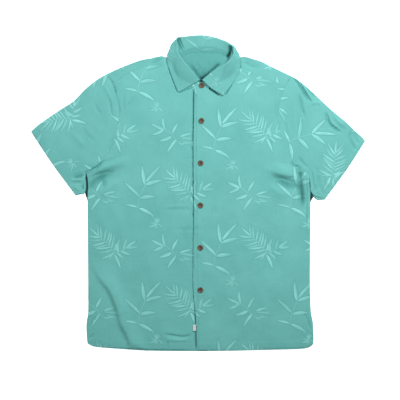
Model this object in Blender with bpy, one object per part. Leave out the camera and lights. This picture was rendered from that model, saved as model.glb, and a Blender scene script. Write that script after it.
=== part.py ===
"""A camp collar shirt, buttoned and laid flat on its back.

Each piece that is cut and sewn on is a closed solid of its own: back, yoke, two fronts, two sleeves,
one folded collar, six buttons and a small blank tab. The neck points to +Y and the shirt lies on z = 0.
Lengths in the tables are in millimetres. "right" and "left" are the wearer's, so right is at -X.
"""
import math

import bmesh
import bpy
import numpy as np
from mathutils import Vector, geometry

MM = 0.001

# ---------------------------------------------------------------- driving dimensions, mm
WALL = 1.0             # cloth of the body and sleeves
COLLAR_WALL = 1.2      # the collar is two layers with an interlining
SEAM_GAP = 0.3         # between two pieces that are sewn together
LAYER_GAP = 0.3        # between two cloths that lie on each other
PUFF = 2.4             # how far the upper layer stands off the lower one, well inside the outline
PUFF_REACH = 30.0      # distance from the outline over which it rises to that
FOLD_STEPS = 4         # facets round each folded edge
FOLD_INSET = WALL / 2 + 1.0    # where the two layers leave the round of a folded edge
CURVED_GAP = SEAM_GAP + 0.1    # at curved seams, so that the facets stay clear
NECK_GAP = SEAM_GAP + COLLAR_WALL / 2    # the collar's wall stands up beside the neck's edge
SIDES = ("right", "left")

PANEL_PITCH = 23.0     # size of the facets of the fronts
SLEEVE_PITCH = 24.0    # of the sleeves
YOKE_PITCH = 20.0      # of the yoke
BACK_PITCH = 62.0      # of the flat back
SEAM_PITCH = 14.0      # facets along seams and folded edges
BACK_SEAM_PITCH = 30.0
CREASE_PITCH = 17.0    # facets along a fold

ARMHOLE_BACK_OUT = 6.0     # the back armhole is cut shallower than the front one
UNDER_FRONT_EDGE = 27.5    # x of the hidden edge of the front that lies beneath
UNDER_FRONT_TOP = 276.5    # y of that front's top edge, beyond the collar
OVERLAP_RAMP = 10.0        # where the top front comes down beside the one beneath

COLLAR_LIFT = WALL + 0.5   # the yoke lies this high where the collar's fall is under it
LIFT_X = (-84.0, 112.0)    # the stretch of the yoke that does
LIFT_Y = 316.0             # lower end of the fall under the yoke
LIFT_RAMP = 24.0           # the yoke comes down to the floor over this length

BUTTON_X = (9.0, 8.3, 6.3, 5.8, 5.8, 5.8)    # from the collar down
BUTTON_FIRST_Y = 269.0     # the top one, half under the collar
BUTTON_SECOND_Y = 180.5    # the next, from which the others are evenly spaced
BUTTON_PITCH = 105.6
BUTTON_PROFILE = [(0, 1.5), (3.9, 1.5), (5.0, 2.5), (6.5, 2.3), (7.0, 1.2), (6.2, 0), (0, 0)]   # radius, z
BUTTON_SIDES = 16
BUTTON_FOOT = 6.0          # radius over which the button rests on the cloth
BUTTON_SEAT = 0.35         # thread between the cloth and the button

TAB_SIZE = (7.5, 16.0)
TAB_Y = -336.5
TAB_PITCH = 5.0

HEM_Y = -394.7             # lower end of the hidden front's edge
HEM_CORNER = 8.0           # the hem's own points start this far from a front's edge
FOLD_EDGE = 4.0            # distance from the outline over which a fold comes to its height
FOLD_EDGE_SHARE = 0.25     # share of its height that it has on the outline itself
HEM_ZONE_Y = -300.0        # below this the folds run out over the hem at their full height

CURVE_STEPS = 8            # steps between two points of a seam's smooth curve
NECK_STEPS = 12            # the same for the neck seam
GRID_MARGIN = 0.45         # facets' points stay this share of the pitch inside the outline
FOLD_MARGIN = 4.0          # and the points along folds this far
FOLD_CLEAR = 0.62          # share of the pitch kept between the two kinds
SAME_POINT = 0.6           # points of an outline nearer than this are one
SHARP_ANGLE = 50.0         # degrees, edges sharper than this stay sharp

# ---------------------------------------------------------------- outline tables, mm: (x, y)
# Top edge of each side, from the cuff's tip along the sleeve and shoulder to the neck.
SHOULDER = {
    "right": [(-417.5, 154), (-402.5, 168), (-382.5, 183), (-360, 198), (-337.5, 213), (-313, 228),
              (-298, 243), (-284, 258), (-267, 273), (-246, 288), (-227, 298), (-200, 311),
              (-172, 322), (-142.5, 333), (-116, 337), (-95, 338.5), (-80, 336.5), (-66, 332.5), (-49, 329.5)],
    "left": [(417.5, 130.5), (411, 140), (395, 153), (380, 168), (364, 183), (345, 198), (328, 213),
             (312, 228), (296, 243), (280, 258), (262.5, 273), (243, 288), (232, 293), (207, 305),
             (180, 318), (150, 332.5), (122, 336), (108, 336), (96, 332), (81, 328.5)],
}
# Where the shoulder table passes the armhole and reaches the neck.
ARMHOLE_TOP = {"right": (-227, 298), "left": (232, 293)}
# Armhole seam on the front, from the shoulder fold to the underarm.
ARMHOLE = {
    "right": [(-227, 298), (-212.5, 270), (-202.5, 240), (-197.5, 203), (-200, 163), (-210, 125),
              (-227.5, 95), (-252.5, 73), (-280, 52.5)],
    "left": [(232, 293), (217.5, 265), (207.5, 238), (200, 203), (202.5, 163), (212.5, 125),
             (227.5, 93), (247.5, 70), (277.5, 45)],
}
# Share of the armhole's length at each facet; the 2nd is the front yoke seam, the 4th the back one.
ARMHOLE_STEPS = (0, 0.095, 0.16, 0.223, 0.33, 0.44, 0.55, 0.66, 0.77, 0.885, 1)
FRONT_YOKE_STEP = 1
BACK_YOKE_STEP = 3
# Underarm seam of each sleeve, from the armhole to the cuff.
UNDERARM = {
    "right": [(-280, 52.5), (-279.5, 38), (-278.5, 22), (-281, 6), (-286.5, -4)],
    "left": [(277.5, 45), (281, 32), (282.5, 18), (284, 5), (287, -2)],
}
# Cuff, from its tip to the underarm seam: the upper layer and the one on the floor.
CUFF_UPPER = {
    "right": [(-417.5, 154), (-361.5, 74), (-305.5, -6.5), (-296, -1), (-286.5, -4)],
    "left": [(417.5, 130.5), (367, 57), (316.5, -16), (301, -10), (287, -2)],
}
CUFF_LOWER = {
    "right": [(-417.5, 154), (-361.5, 74), (-305.5, -6.5), (-296, -3), (-286.5, -4)],
    "left": [(417.5, 130.5), (367, 57), (316.5, -16), (299, -18), (287, -2)],
}
# Side seam of the body, from the underarm to the vent and round the hem's corner.
SIDE = {
    "right": [(-280, 52.5), (-275.5, 38), (-274.5, 20), (-275.5, 0), (-276, -30), (-275.5, -90),
              (-275, -150), (-274.5, -210), (-274.5, -260), (-274.5, -300), (-278, -318),
              (-279, -333), (-278, -356), (-276.5, -373), (-273, -380), (-266, -383.5)],
    "left": [(277.5, 45), (279, 30), (280, 10), (280.5, -10), (281, -45), (280.5, -100), (280, -160),
             (279.5, -220), (280.5, -265), (282, -300), (286, -314), (287.5, -330), (288.5, -355),
             (289, -372), (286.5, -380), (279, -386)],
}
HEM = [(-235, -386.5), (-200, -389), (-172.5, -391), (-135, -393.5), (-97.5, -394.5), (-50, -394.8),
       (-2.5, -394.8), (28.5, -394.6), (38.5, -394.5), (60, -394.3), (92.5, -393.8), (128, -393),
       (175, -391.7), (225, -390.5), (262, -389.5)]
# Edge of the top front, from the collar to the hem.
PLACKET = [(-8.5, 268), (-9, 250), (-9.5, 205), (-11, 150), (-11.2, 60), (-10, -60), (-11.8, -150),
           (-11.8, -240), (-7, -290), (-4.5, -325), (-3, -360), (-3, -394.8)]
# Front yoke seam, from the armhole to the neck.
YOKE_FRONT = {
    "right": [(-215, 274), (-175, 300), (-140, 315), (-118, 318), (-95, 319.5), (-70, 321), (-49, 321.5)],
    "left": [(219, 268), (185, 281), (160, 290), (130, 303), (105, 312), (92, 316), (81, 317.5)],
}

# ---------------------------------------------------------------- folds of the upper layer, mm
# "low" and "high" are the fold's half-widths on the two sides of its line, left and right of its run;
# "fade" is the share of its length over which it rises at its start and falls at its end.
FOLDS = [
    {"name": "hem_fold", "rise": 8.5, "low": 30, "high": 11, "fade": (0.45, 0.0),
     "line": [(-270, -160), (-243, -211), (-218, -242), (-200, -287), (-190, -326), (-177, -350),
              (-167, -372), (-160, -396)]},
    {"name": "underarm_right", "rise": 6.0, "low": 12, "high": 16, "fade": (0.3, 0.4),
     "line": [(-272, 44), (-237, 62), (-203, 74), (-170, 88)]},
    {"name": "underarm_left", "rise": 7.0, "low": 22, "high": 12, "fade": (0.4, 0.25),
     "line": [(172, 62), (205, 49), (248, 44)]},
    {"name": "side_left", "rise": 3.5, "low": 9, "high": 16, "fade": (0.2, 0.5),
     "line": [(249, 42), (247, 10), (250, -25), (255, -62)]},
    {"name": "shoulder_left", "rise": 4.0, "low": 12, "high": 6, "fade": (0.2, 0.5),
     "line": [(251, 277), (265, 261), (280, 240), (293, 222)]},
    {"name": "sleeve_left_fold", "rise": 3.0, "low": 14, "high": 7, "fade": (0.3, 0.4),
     "line": [(323, 195), (328, 176), (336, 167), (354, 152)]},
    {"name": "sleeve_right_fold", "rise": 3.0, "low": 14, "high": 14, "fade": (0.4, 0.4),
     "line": [(-304, 174), (-280, 148), (-253, 122)]},
    {"name": "chest_right", "rise": 2.2, "low": 9, "high": 12, "fade": (0.4, 0.5),
     "line": [(-152, 256), (-168, 228), (-188, 196)]},
]

# ---------------------------------------------------------------- collar sections, mm
# One row for each section, from the right leaf's front end round the back of the neck to the left one's.
# seam: the neck seam; roll: the top of the fold, with its height and radius; edge: the outer edge.
# heading: plan direction away from the neck, degrees; turn: 0 folded flat forwards, 90 standing up,
# 180 folded flat backwards; bow: how far the fall swings out; drop: how fast it comes down;
# lift: how far the edge stands off what it lies on, or its height where it lies on nothing.
COLLAR_COLUMNS = ("lies", "seam_x", "seam_y", "roll_x", "roll_y", "roll_z", "radius", "heading", "turn",
                  "bow", "drop", "edge_x", "edge_y", "lift")
COLLAR_ROWS = [
    ("over", 5.0, 277.8, 5.0, 282.3, 9.0, 1.6, 209, 4, 0, 1.2, -49.5, 251.5, 0.2),
    ("over", -7.5, 284.0, -7.5, 298.0, 9.5, 1.8, 211, 8, 1, 1.4, -56.5, 268.0, 0.0),
    ("over", -24.0, 295.5, -23.3, 315.8, 11.0, 2.2, 214, 15, 1, 1.5, -64.5, 289.0, 0.0),
    ("over", -39.0, 309.0, -39.3, 335.3, 14.0, 2.8, 205, 35, 2, 1.5, -71.8, 310.3, 0.0),
    ("over", -47.6, 321.5, -50.5, 351.3, 16.5, 3.4, 190, 62, 5, 1.3, -76.5, 329.0, 0.2),
    ("wraps", -47.4, 331.5, -51.5, 366.5, 15.5, 3.6, 172, 92, 6, 0.9, -78.5, 347.5, 4.0),
    ("under", -43.0, 341.0, -50.0, 379.0, 12.0, 3.0, 150, 128, 9, 3.0, -73.5, 342.0, 0.0),
    ("under", -33.0, 347.4, -44.5, 388.0, 7.5, 2.2, 120, 158, 10, 5.0, -45.0, 324.5, 0.0),
    ("under", -12.5, 351.3, -18.8, 392.5, 4.6, 1.8, 97, 172, 0, 6.0, -17.5, 323.5, 0.0),
    ("under", 12.5, 352.3, 10.0, 394.2, 4.2, 1.8, 90, 175, 0, 6.0, 12.5, 323.5, 0.0),
    ("under", 37.5, 351.5, 36.3, 390.3, 4.6, 1.8, 80, 172, 0, 6.0, 42.5, 323.5, 0.0),
    ("under", 57.5, 348.5, 60.5, 382.5, 7.0, 2.2, 60, 158, 8, 5.0, 70.0, 323.5, 0.0),
    ("under", 71.0, 340.3, 77.0, 374.0, 11.5, 3.0, 34, 128, 7, 3.0, 101.0, 341.5, 0.0),
    ("wraps", 78.2, 330.5, 83.8, 362.0, 15.5, 3.6, 6, 92, 5, 0.9, 106.5, 345.0, 4.0),
    ("over", 79.0, 317.8, 85.3, 346.3, 17.0, 3.4, -12, 62, 4, 1.3, 104.8, 322.0, 0.2),
    ("over", 70.5, 304.8, 74.0, 327.3, 15.0, 2.8, -26, 35, 3, 1.5, 103.0, 300.8, 0.0),
    ("over", 52.0, 293.0, 50.5, 314.3, 12.5, 2.2, -38, 15, 1, 1.5, 91.5, 282.8, 0.0),
    ("over", 30.0, 283.0, 29.5, 298.0, 12.0, 2.0, -40, 8, 0, 1.1, 77.5, 261.3, 1.2),
    ("over", 10.5, 277.8, 10.0, 282.0, 11.8, 1.8, -38, 4, 0, 0.9, 62.0, 243.0, 3.2),
]
COLLAR_STEPS = 3         # facets between two sections
STAND_STEPS = 3          # facets of a section: the stand, the roll and the fall
ROLL_STEPS = 4
FALL_STEPS = 6
COLLAR_CLEAR = 0.1       # added to the gap between the fall and the cloth beneath it
RIGHT_NECK_CORNER = 4    # rows of the table where the front yoke seams meet the neck
RIGHT_NECK_POINT = 5     # and where the shoulder folds do
LEFT_NECK_POINT = 13
LEFT_NECK_CORNER = 14
LAST_ROW = len(COLLAR_ROWS) - 1

# ---------------------------------------------------------------- materials: colour, roughness
MATERIALS = {
    "cloth": ((0.18, 0.52, 0.47), 0.75),
    "collar_cloth": ((0.19, 0.54, 0.49), 0.75),
    "wood": ((0.16, 0.075, 0.04), 0.45),
    "white_tape": ((0.85, 0.85, 0.83), 0.7),
}


# ---------------------------------------------------------------- curves

def smooth(points, steps):
    """A smooth curve through the points, with this many steps between each two."""
    pts = np.array(points, float)
    ext = np.vstack([2 * pts[0] - pts[1], pts, 2 * pts[-1] - pts[-2]])
    out = []
    for i in range(len(pts) - 1):
        a, b, c, d = ext[i:i + 4]
        for s in range(steps):
            t = s / steps
            out.append(0.5 * (2 * b + (c - a) * t + (2 * a - 5 * b + 4 * c - d) * t * t
                              + (3 * b - a - 3 * c + d) * t ** 3))
    out.append(pts[-1])
    return np.array(out)


def lengths(points):
    """Distance along the polyline at each of its points."""
    steps = np.linalg.norm(np.diff(points, axis=0), axis=1)
    return np.concatenate([[0], np.cumsum(steps)])


def along(points, shares):
    """Points of the polyline at these shares of its length."""
    where = lengths(points)
    shares = np.asarray(shares, float) * where[-1]
    return np.stack([np.interp(shares, where, points[:, k]) for k in range(points.shape[1])], axis=1)


def spaced(points, pitch):
    """The smooth curve through the points, in steps of about the pitch."""
    curve = smooth(points, CURVE_STEPS)
    count = max(1, round(lengths(curve)[-1] / pitch))
    return along(curve, np.linspace(0, 1, count + 1))


def parallel(points, shift):
    """The polyline moved to its left by shift."""
    pts = np.asarray(points, float)
    run = np.gradient(pts, axis=0)
    run /= np.linalg.norm(run, axis=1)[:, None]
    return pts + shift * np.stack([-run[:, 1], run[:, 0]], axis=1)


def between(points, start, end):
    """The stretch of a smooth curve through the points from the one nearest start to the end's."""
    curve = smooth(points, CURVE_STEPS)
    first = int(np.argmin(np.linalg.norm(curve - np.array(start), axis=1)))
    last = int(np.argmin(np.linalg.norm(curve - np.array(end), axis=1)))
    return curve[first:last + 1]


def ease(t):
    """Smooth step from 0 to 1."""
    t = np.clip(t, 0, 1)
    return t * t * (3 - 2 * t)


def line_distance(p, line):
    """Distance of each point to the line, the side it is on and its share of the line's length."""
    a, b = line[:-1], line[1:]
    run = b - a
    size = np.linalg.norm(run, axis=1)
    rel = p[:, None, :] - a[None]
    t = np.clip((rel * run).sum(2) / size ** 2, 0, 1)
    off = rel - t[:, :, None] * run
    dist = np.linalg.norm(off, axis=2)
    k = dist.argmin(axis=1)
    row = np.arange(len(p))
    side = run[k, 0] * rel[row, k, 1] - run[k, 1] * rel[row, k, 0]
    share = (lengths(line)[k] + t[row, k] * size[k]) / lengths(line)[-1]
    return dist[row, k], side, share


# ---------------------------------------------------------------- how the cloth lies

OUTLINE = [smooth(SHOULDER[side], 3) for side in SHOULDER]
OUTLINE += [np.array(CUFF_UPPER[side], float) for side in CUFF_UPPER]
OUTLINE += [smooth(table[side], 2) for table in (UNDERARM, SIDE) for side in table]
OUTLINE.append(np.array([SIDE["right"][-1]] + HEM + [SIDE["left"][-1]], float))
FOLD_LINES = [smooth(fold["line"], 5) for fold in FOLDS]
PLACKET_LINE = smooth(PLACKET, 4)


def lower_lift(p):
    """How far the lower layer is held off the floor by the collar beneath it."""
    side = ease((p[:, 0] - LIFT_X[0] + LIFT_RAMP) / LIFT_RAMP)
    side *= ease((LIFT_X[1] + LIFT_RAMP - p[:, 0]) / LIFT_RAMP)
    return COLLAR_LIFT * side * ease((p[:, 1] - LIFT_Y + LIFT_RAMP) / LIFT_RAMP)


def folds_rise(p):
    """Height that the folds add to the upper layer."""
    rise = np.zeros(len(p))
    for fold, line in zip(FOLDS, FOLD_LINES):
        dist, side, share = line_distance(p, line)
        width = np.where(side > 0, fold["low"], fold["high"])
        bump = np.clip(1 - (dist / width) ** 2, 0, 1) ** 2
        start, end = fold["fade"]
        if start:
            bump *= ease(share / start)
        if end:
            bump *= ease((1 - share) / end)
        rise += fold["rise"] * bump
    return rise


def upper_bottom(p):
    """Height of the underside of the upper layer, which the fronts, yoke and sleeves share."""
    p = np.atleast_2d(np.asarray(p, float))
    edge = np.min([line_distance(p, line)[0] for line in OUTLINE], axis=0)
    puff = PUFF * (1 - np.exp(-edge / PUFF_REACH))
    share = np.clip(edge / FOLD_EDGE + FOLD_EDGE_SHARE, 0, 1)
    share[p[:, 1] < HEM_ZONE_Y] = 1
    return lower_lift(p) + WALL + LAYER_GAP + puff + folds_rise(p) * share


def placket_x(y):
    """x of the top front's edge at this height on the shirt."""
    return np.interp(-np.asarray(y, float), -PLACKET_LINE[:, 1], PLACKET_LINE[:, 0])


def overlap_rise(p):
    """How much higher the top front lies where the other front is beneath it."""
    return (WALL + LAYER_GAP) * ease((UNDER_FRONT_EDGE + 1 + OVERLAP_RAMP - p[:, 0]) / OVERLAP_RAMP)


def top_front_bottom(p):
    """Underside of the front that lies on top."""
    p = np.atleast_2d(np.asarray(p, float))
    return upper_bottom(p) + overlap_rise(p)


def fronts_top(p):
    """Height of the cloth that is uppermost on the chest, without the collar."""
    p = np.atleast_2d(np.asarray(p, float))
    on_top = p[:, 0] > placket_x(p[:, 1]) - 1
    return np.where(on_top, top_front_bottom(p), upper_bottom(p)) + WALL


# ---------------------------------------------------------------- meshes

def finish_object(name, bm, slot):
    """Make the named object of a mesh that is in millimetres, shaded smooth over its soft edges."""
    bmesh.ops.scale(bm, vec=(MM, MM, MM), verts=bm.verts)
    bm.normal_update()
    mesh = bpy.data.meshes.new(name)
    bm.to_mesh(mesh)
    bm.free()
    mesh.shade_smooth()
    mesh.set_sharp_from_angle(angle=math.radians(SHARP_ANGLE))
    mesh.materials.append(bpy.data.materials[slot])
    obj = bpy.data.objects.new(name, mesh)
    bpy.context.scene.collection.objects.link(obj)
    return obj


def close_sheet(bm, lower, upper, faces):
    """Two layers of the same faces, joined by a wall along the edges that only one face has."""
    used = {}
    for face in faces:
        bm.faces.new([upper[i] for i in face])
        bm.faces.new([lower[i] for i in reversed(face)])
        for i, j in zip(face, face[1:] + face[:1]):
            used[(i, j)] = True
    for i, j in used:
        if (j, i) not in used:
            bm.faces.new([upper[j], upper[i], lower[i], lower[j]])


def fill(ring, pitch, extra=()):
    """Facets of the region inside a plan ring: its points, its faces and where the ring's points are."""
    ring = np.asarray(ring, float)
    closed = np.vstack([ring, ring[:1]])
    low, high = ring.min(axis=0), ring.max(axis=0)
    step = pitch * math.sqrt(0.75)
    rows = int((high[1] - low[1]) / step) + 1
    cols = int((high[0] - low[0]) / pitch) + 2
    grid = np.array([(low[0] + (i + 0.5 * (j % 2)) * pitch, low[1] + j * step)
                     for j in range(rows) for i in range(cols)])
    margin = np.full(len(grid), GRID_MARGIN * pitch)
    if len(extra):
        far = np.linalg.norm(grid[:, None] - extra[None], axis=2).min(axis=1) > FOLD_CLEAR * pitch
        grid = np.vstack([extra, grid[far]])
        margin = np.concatenate([np.full(len(extra), FOLD_MARGIN), margin[far]])
    grid = grid[(line_distance(grid, closed)[0] > margin) & inside(grid, ring)]
    flat = [Vector(p) for p in np.vstack([ring, grid])]
    loop = [(i, (i + 1) % len(ring)) for i in range(len(ring))]
    verts, _, faces, origin, _, _ = geometry.delaunay_2d_cdt(flat, loop, [], 1, 1e-5)
    place = {first: i for i, firsts in enumerate(origin) for first in firsts}
    return np.array([v[:] for v in verts]), [list(face) for face in faces], [place[i] for i in range(len(ring))]


def inside(p, ring):
    """Which points are inside the closed ring."""
    x, y = p[:, 0], p[:, 1]
    result = np.zeros(len(p), bool)
    for (ax, ay), (bx, by) in zip(ring, np.roll(ring, -1, axis=0)):
        crosses = (ay > y) != (by > y)
        rise = np.where(by == ay, 1e-9, by - ay)
        result ^= crosses & (x < (bx - ax) * (y - ay) / rise + ax)
    return result


def panel(name, ring, pitch, bottom, slot, extra=()):
    """A cloth panel inside a plan ring, whose underside is at bottom(points)."""
    plan, faces, _ = fill(ring, pitch, extra)
    bm = bmesh.new()
    heights = bottom(plan)
    lower = [bm.verts.new((x, y, h)) for (x, y), h in zip(plan, heights)]
    upper = [bm.verts.new((x, y, h + WALL)) for (x, y), h in zip(plan, heights)]
    close_sheet(bm, lower, upper, faces)
    return finish_object(name, bm, slot)


class Cloth:
    """The middle surface of a folded cloth: its points, and the faces that share them."""

    def __init__(self):
        self.points = []
        self.faces = []

    def layer(self, ring, pitch, bottom, extra=()):
        """Add a flat layer inside a plan ring; the result says where the ring's points are."""
        plan, faces, place = fill(ring, pitch, extra)
        first = len(self.points)
        self.points += [(x, y, h + WALL / 2) for (x, y), h in zip(plan, bottom(plan))]
        self.faces += [[first + i for i in face] for face in faces]
        return [first + i for i in place]

    def fold(self, low, high, rail):
        """Join two layers round a folded edge whose outer line is the rail."""
        rows = []
        for i, j, spot in zip(low, high, rail):
            a, b = np.array(self.points[i]), np.array(self.points[j])
            centre = (a + b) / 2
            reach = spot - centre[:2]
            reach *= 1 - WALL / 2 / np.linalg.norm(reach)
            row = [i]
            for step in range(1, FOLD_STEPS):
                angle = math.pi * (step / FOLD_STEPS - 0.5)
                plan = centre[:2] + reach * math.cos(angle)
                z = centre[2] + (b[2] - a[2]) / 2 * math.sin(angle)
                row.append(len(self.points))
                self.points.append((plan[0], plan[1], z))
            rows.append(row + [j])
        for one, two in zip(rows, rows[1:]):
            for k in range(FOLD_STEPS):
                self.faces.append([one[k], one[k + 1], two[k + 1], two[k]])

    def solid(self, name, slot, wall=WALL):
        """The wall round this surface."""
        mid = bmesh.new()
        verts = [mid.verts.new(p) for p in self.points]
        faces = [mid.faces.new([verts[i] for i in face]) for face in self.faces]
        bmesh.ops.recalc_face_normals(mid, faces=faces)
        mid.normal_update()
        mid.verts.index_update()
        faces = [[v.index for v in face.verts] for face in faces]
        bm = bmesh.new()
        lower = [bm.verts.new(v.co - v.normal * wall / 2) for v in verts]
        upper = [bm.verts.new(v.co + v.normal * wall / 2) for v in verts]
        mid.free()
        close_sheet(bm, lower, upper, faces)
        return finish_object(name, bm, slot)


# ---------------------------------------------------------------- shared seams

def armhole(side, layer):
    """Armhole seam at its facets, on the front or the back layer."""
    curve = smooth(ARMHOLE[side], CURVE_STEPS)
    points = along(curve, ARMHOLE_STEPS)
    if layer == "back":
        out = -1 if side == "right" else 1
        points[:, 0] += out * ARMHOLE_BACK_OUT * np.sin(np.pi * np.array(ARMHOLE_STEPS))
    return points


def neck_seam(first, last):
    """Neck seam between two rows of the collar table, in plan."""
    seam = smooth([(row[1], row[2]) for row in COLLAR_ROWS], NECK_STEPS)
    count = round((last - first) * COLLAR_STEPS) + 1
    where = np.linspace(first, last, count) * NECK_STEPS
    index = np.arange(len(seam))
    return np.stack([np.interp(where, index, seam[:, k]) for k in (0, 1)], axis=1)


def yoke_front_seam(side):
    """Front yoke seam, armhole to neck, starting on the armhole's own facet."""
    points = [tuple(armhole(side, "front")[FRONT_YOKE_STEP])] + YOKE_FRONT[side][1:]
    return spaced(points, SEAM_PITCH)


def yoke_back_seam():
    """Back yoke seam, from the right armhole to the left one."""
    right = armhole("right", "back")[BACK_YOKE_STEP]
    left = armhole("left", "back")[BACK_YOKE_STEP]
    count = round((left[0] - right[0]) / BACK_SEAM_PITCH)
    return right + (left - right) * np.linspace(0, 1, count + 1)[:, None]


def shoulder_rail(side, part):
    """The folded top edge of the sleeve or of the yoke, starting at the armhole."""
    if part == "sleeve":
        curve = between(SHOULDER[side], SHOULDER[side][0], ARMHOLE_TOP[side])[::-1]
    else:
        curve = between(SHOULDER[side], ARMHOLE_TOP[side], SHOULDER[side][-1])
    return along(curve, np.linspace(0, 1, round(lengths(curve)[-1] / SEAM_PITCH) + 1))


def tidy_ring(parts):
    """One ring of these stretches, without points that coincide with the one before."""
    keep = []
    for p in np.vstack(parts):
        if not keep or np.linalg.norm(p - keep[-1]) > SAME_POINT:
            keep.append(p)
    if np.linalg.norm(keep[0] - keep[-1]) < SAME_POINT:
        keep.pop()
    return np.array(keep)


# ---------------------------------------------------------------- pieces

def floor(p):
    """Underside of what lies on the floor."""
    return np.zeros(len(p))


def make_back():
    """The back panel, flat on the floor."""
    right, left = armhole("right", "back"), armhole("left", "back")
    top = parallel(yoke_back_seam(), -SEAM_GAP)
    ring = tidy_ring([top, left[BACK_YOKE_STEP + 1:], spaced(SIDE["left"], SEAM_PITCH), HEM[::-1],
                      spaced(SIDE["right"], SEAM_PITCH)[::-1], right[:BACK_YOKE_STEP:-1]])
    panel("back", ring, BACK_PITCH, floor, "cloth")


def fold_extra(ring):
    """Points along the folds and their feet, where a layer needs its facets."""
    points = []
    for fold, line in zip(FOLDS, FOLD_LINES):
        count = max(2, round(lengths(line)[-1] / CREASE_PITCH))
        crest = along(line, np.linspace(0, 1, count + 1))
        points.append(crest)
        for width, sign in ((fold["low"], 1), (fold["high"], -1)):
            points.append(parallel(crest, sign * width * 0.5))
            points.append(parallel(crest, sign * width))
    points = np.vstack(points)
    return points[inside(points, ring)]


def ramp_extra():
    """Points where the top front comes down beside the hidden edge of the other one."""
    heights = np.arange(HEM[0][1] + CREASE_PITCH, UNDER_FRONT_TOP, CREASE_PITCH)
    columns = [UNDER_FRONT_EDGE + 1 + OVERLAP_RAMP * part for part in (0, 0.5, 1)]
    return np.array([(x, y) for x in columns for y in heights])


def make_front(side):
    """One front. The left one lies on top, with the buttonholes."""
    seam = yoke_front_seam(side)
    arm = armhole(side, "front")[:FRONT_YOKE_STEP:-1]
    flank = spaced(SIDE[side], SEAM_PITCH)[::-1]
    if side == "left":
        neck = parallel(neck_seam(LEFT_NECK_CORNER, LAST_ROW), NECK_GAP)
        seam = parallel(seam, SEAM_GAP)
        edge = spaced(PLACKET, SEAM_PITCH)
        hem = [p for p in HEM if p[0] > edge[-1, 0] + HEM_CORNER]
        bottom = top_front_bottom
    else:
        neck = parallel(neck_seam(0, RIGHT_NECK_CORNER), NECK_GAP)[::-1]
        seam = parallel(seam, -SEAM_GAP)
        count = round((UNDER_FRONT_TOP - HEM_Y) / PANEL_PITCH) + 1
        edge = [(UNDER_FRONT_EDGE, y) for y in np.linspace(UNDER_FRONT_TOP, HEM_Y, count)]
        hem = [p for p in HEM[::-1] if p[0] < UNDER_FRONT_EDGE - HEM_CORNER]
        bottom = upper_bottom
    ring = tidy_ring([flank, arm, seam, neck, edge, hem])
    extra = fold_extra(ring)
    if side == "left":
        extra = np.vstack([ramp_extra(), extra])
    panel("front_" + side, ring, PANEL_PITCH, bottom, "cloth", extra)


def make_yoke():
    """The yoke: one cloth from the back seam round both shoulder folds, with the neck cut out."""
    cloth = Cloth()
    neck = parallel(neck_seam(RIGHT_NECK_POINT + 0.5, LEFT_NECK_POINT - 0.5), -NECK_GAP)
    rails = {side: shoulder_rail(side, "yoke") for side in SIDES}
    inset = {"right": parallel(rails["right"], -FOLD_INSET), "left": parallel(rails["left"], FOLD_INSET)}
    for side in SIDES:
        inset[side][0] = armhole_start(side)
    low_arm = {side: armhole(side, "back")[FRONT_YOKE_STEP:BACK_YOKE_STEP] for side in SIDES}
    lower = [yoke_back_seam(), low_arm["left"][::-1], inset["left"], neck[::-1], inset["right"][::-1],
             low_arm["right"]]
    starts = np.cumsum([0] + [len(part) for part in lower])
    ring = np.vstack(lower)
    low = cloth.layer(ring, YOKE_PITCH, lower_lift, lift_extra(ring))
    for side, start, order in (("left", starts[2], 1), ("right", starts[4], -1)):
        count = len(inset[side])
        seam = yoke_front_seam(side)
        ring = np.vstack([inset[side], seam[::-1]])
        high = cloth.layer(ring, YOKE_PITCH, upper_bottom)
        cloth.fold(low[start:start + count][::order], high[:count], rails[side])
    cloth.solid("yoke", "cloth")


def lift_extra(ring):
    """Points where the yoke's lower layer rises over the collar's fall."""
    columns = np.arange(LIFT_X[0], LIFT_X[1] + 1, YOKE_PITCH)
    points = np.array([(x, y) for x in columns for y in (LIFT_Y, LIFT_Y - LIFT_RAMP)])
    return points[inside(points, ring)]


def armhole_start(side):
    """Where the armhole seam leaves the shoulder's fold."""
    curve = smooth(ARMHOLE[side], CURVE_STEPS)
    return along(curve, [FOLD_INSET / lengths(curve)[-1]])[0]


def make_sleeve(side):
    """A sleeve: a flattened tube, open at the armhole and at the cuff."""
    cloth = Cloth()
    turn = 1 if side == "right" else -1
    top = shoulder_rail(side, "sleeve")
    low_edge = spaced(UNDERARM[side], SEAM_PITCH / 2)
    top_inset = parallel(top, turn * FOLD_INSET)
    top_inset[0] = armhole_start(side)
    low_inset = parallel(low_edge, -turn * FOLD_INSET)
    layers = []
    for layer, cuff, bottom in (("front", CUFF_UPPER, upper_bottom), ("back", CUFF_LOWER, floor)):
        arm = armhole(side, layer)
        arm[0] = top_inset[0]
        arm = parallel(arm, -turn * CURVED_GAP)
        top_inset[0] = arm[0]
        end = cuff_points(cuff[side])
        ring = np.vstack([top_inset[::-1], arm[1:], low_inset, end[::-1]])
        extra = fold_extra(ring) if layer == "front" else ()
        places = cloth.layer(ring, SLEEVE_PITCH, bottom, extra)
        first = len(top_inset)
        second = first + len(arm) - 1
        layers.append((places[:first], places[second:second + len(low_inset)]))
    (high_top, high_low), (low_top, low_low) = layers
    cloth.fold(low_top, high_top, top[::-1])
    cloth.fold(low_low, high_low, low_edge)
    cloth.solid("sleeve_" + side, "cloth")


def cuff_points(points):
    """The cuff's line between its two folded ends, straight along its run."""
    pts = np.array(points, float)
    run = spaced(pts[:3], SEAM_PITCH)
    return np.vstack([run[1:], pts[3:-1]])


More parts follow.
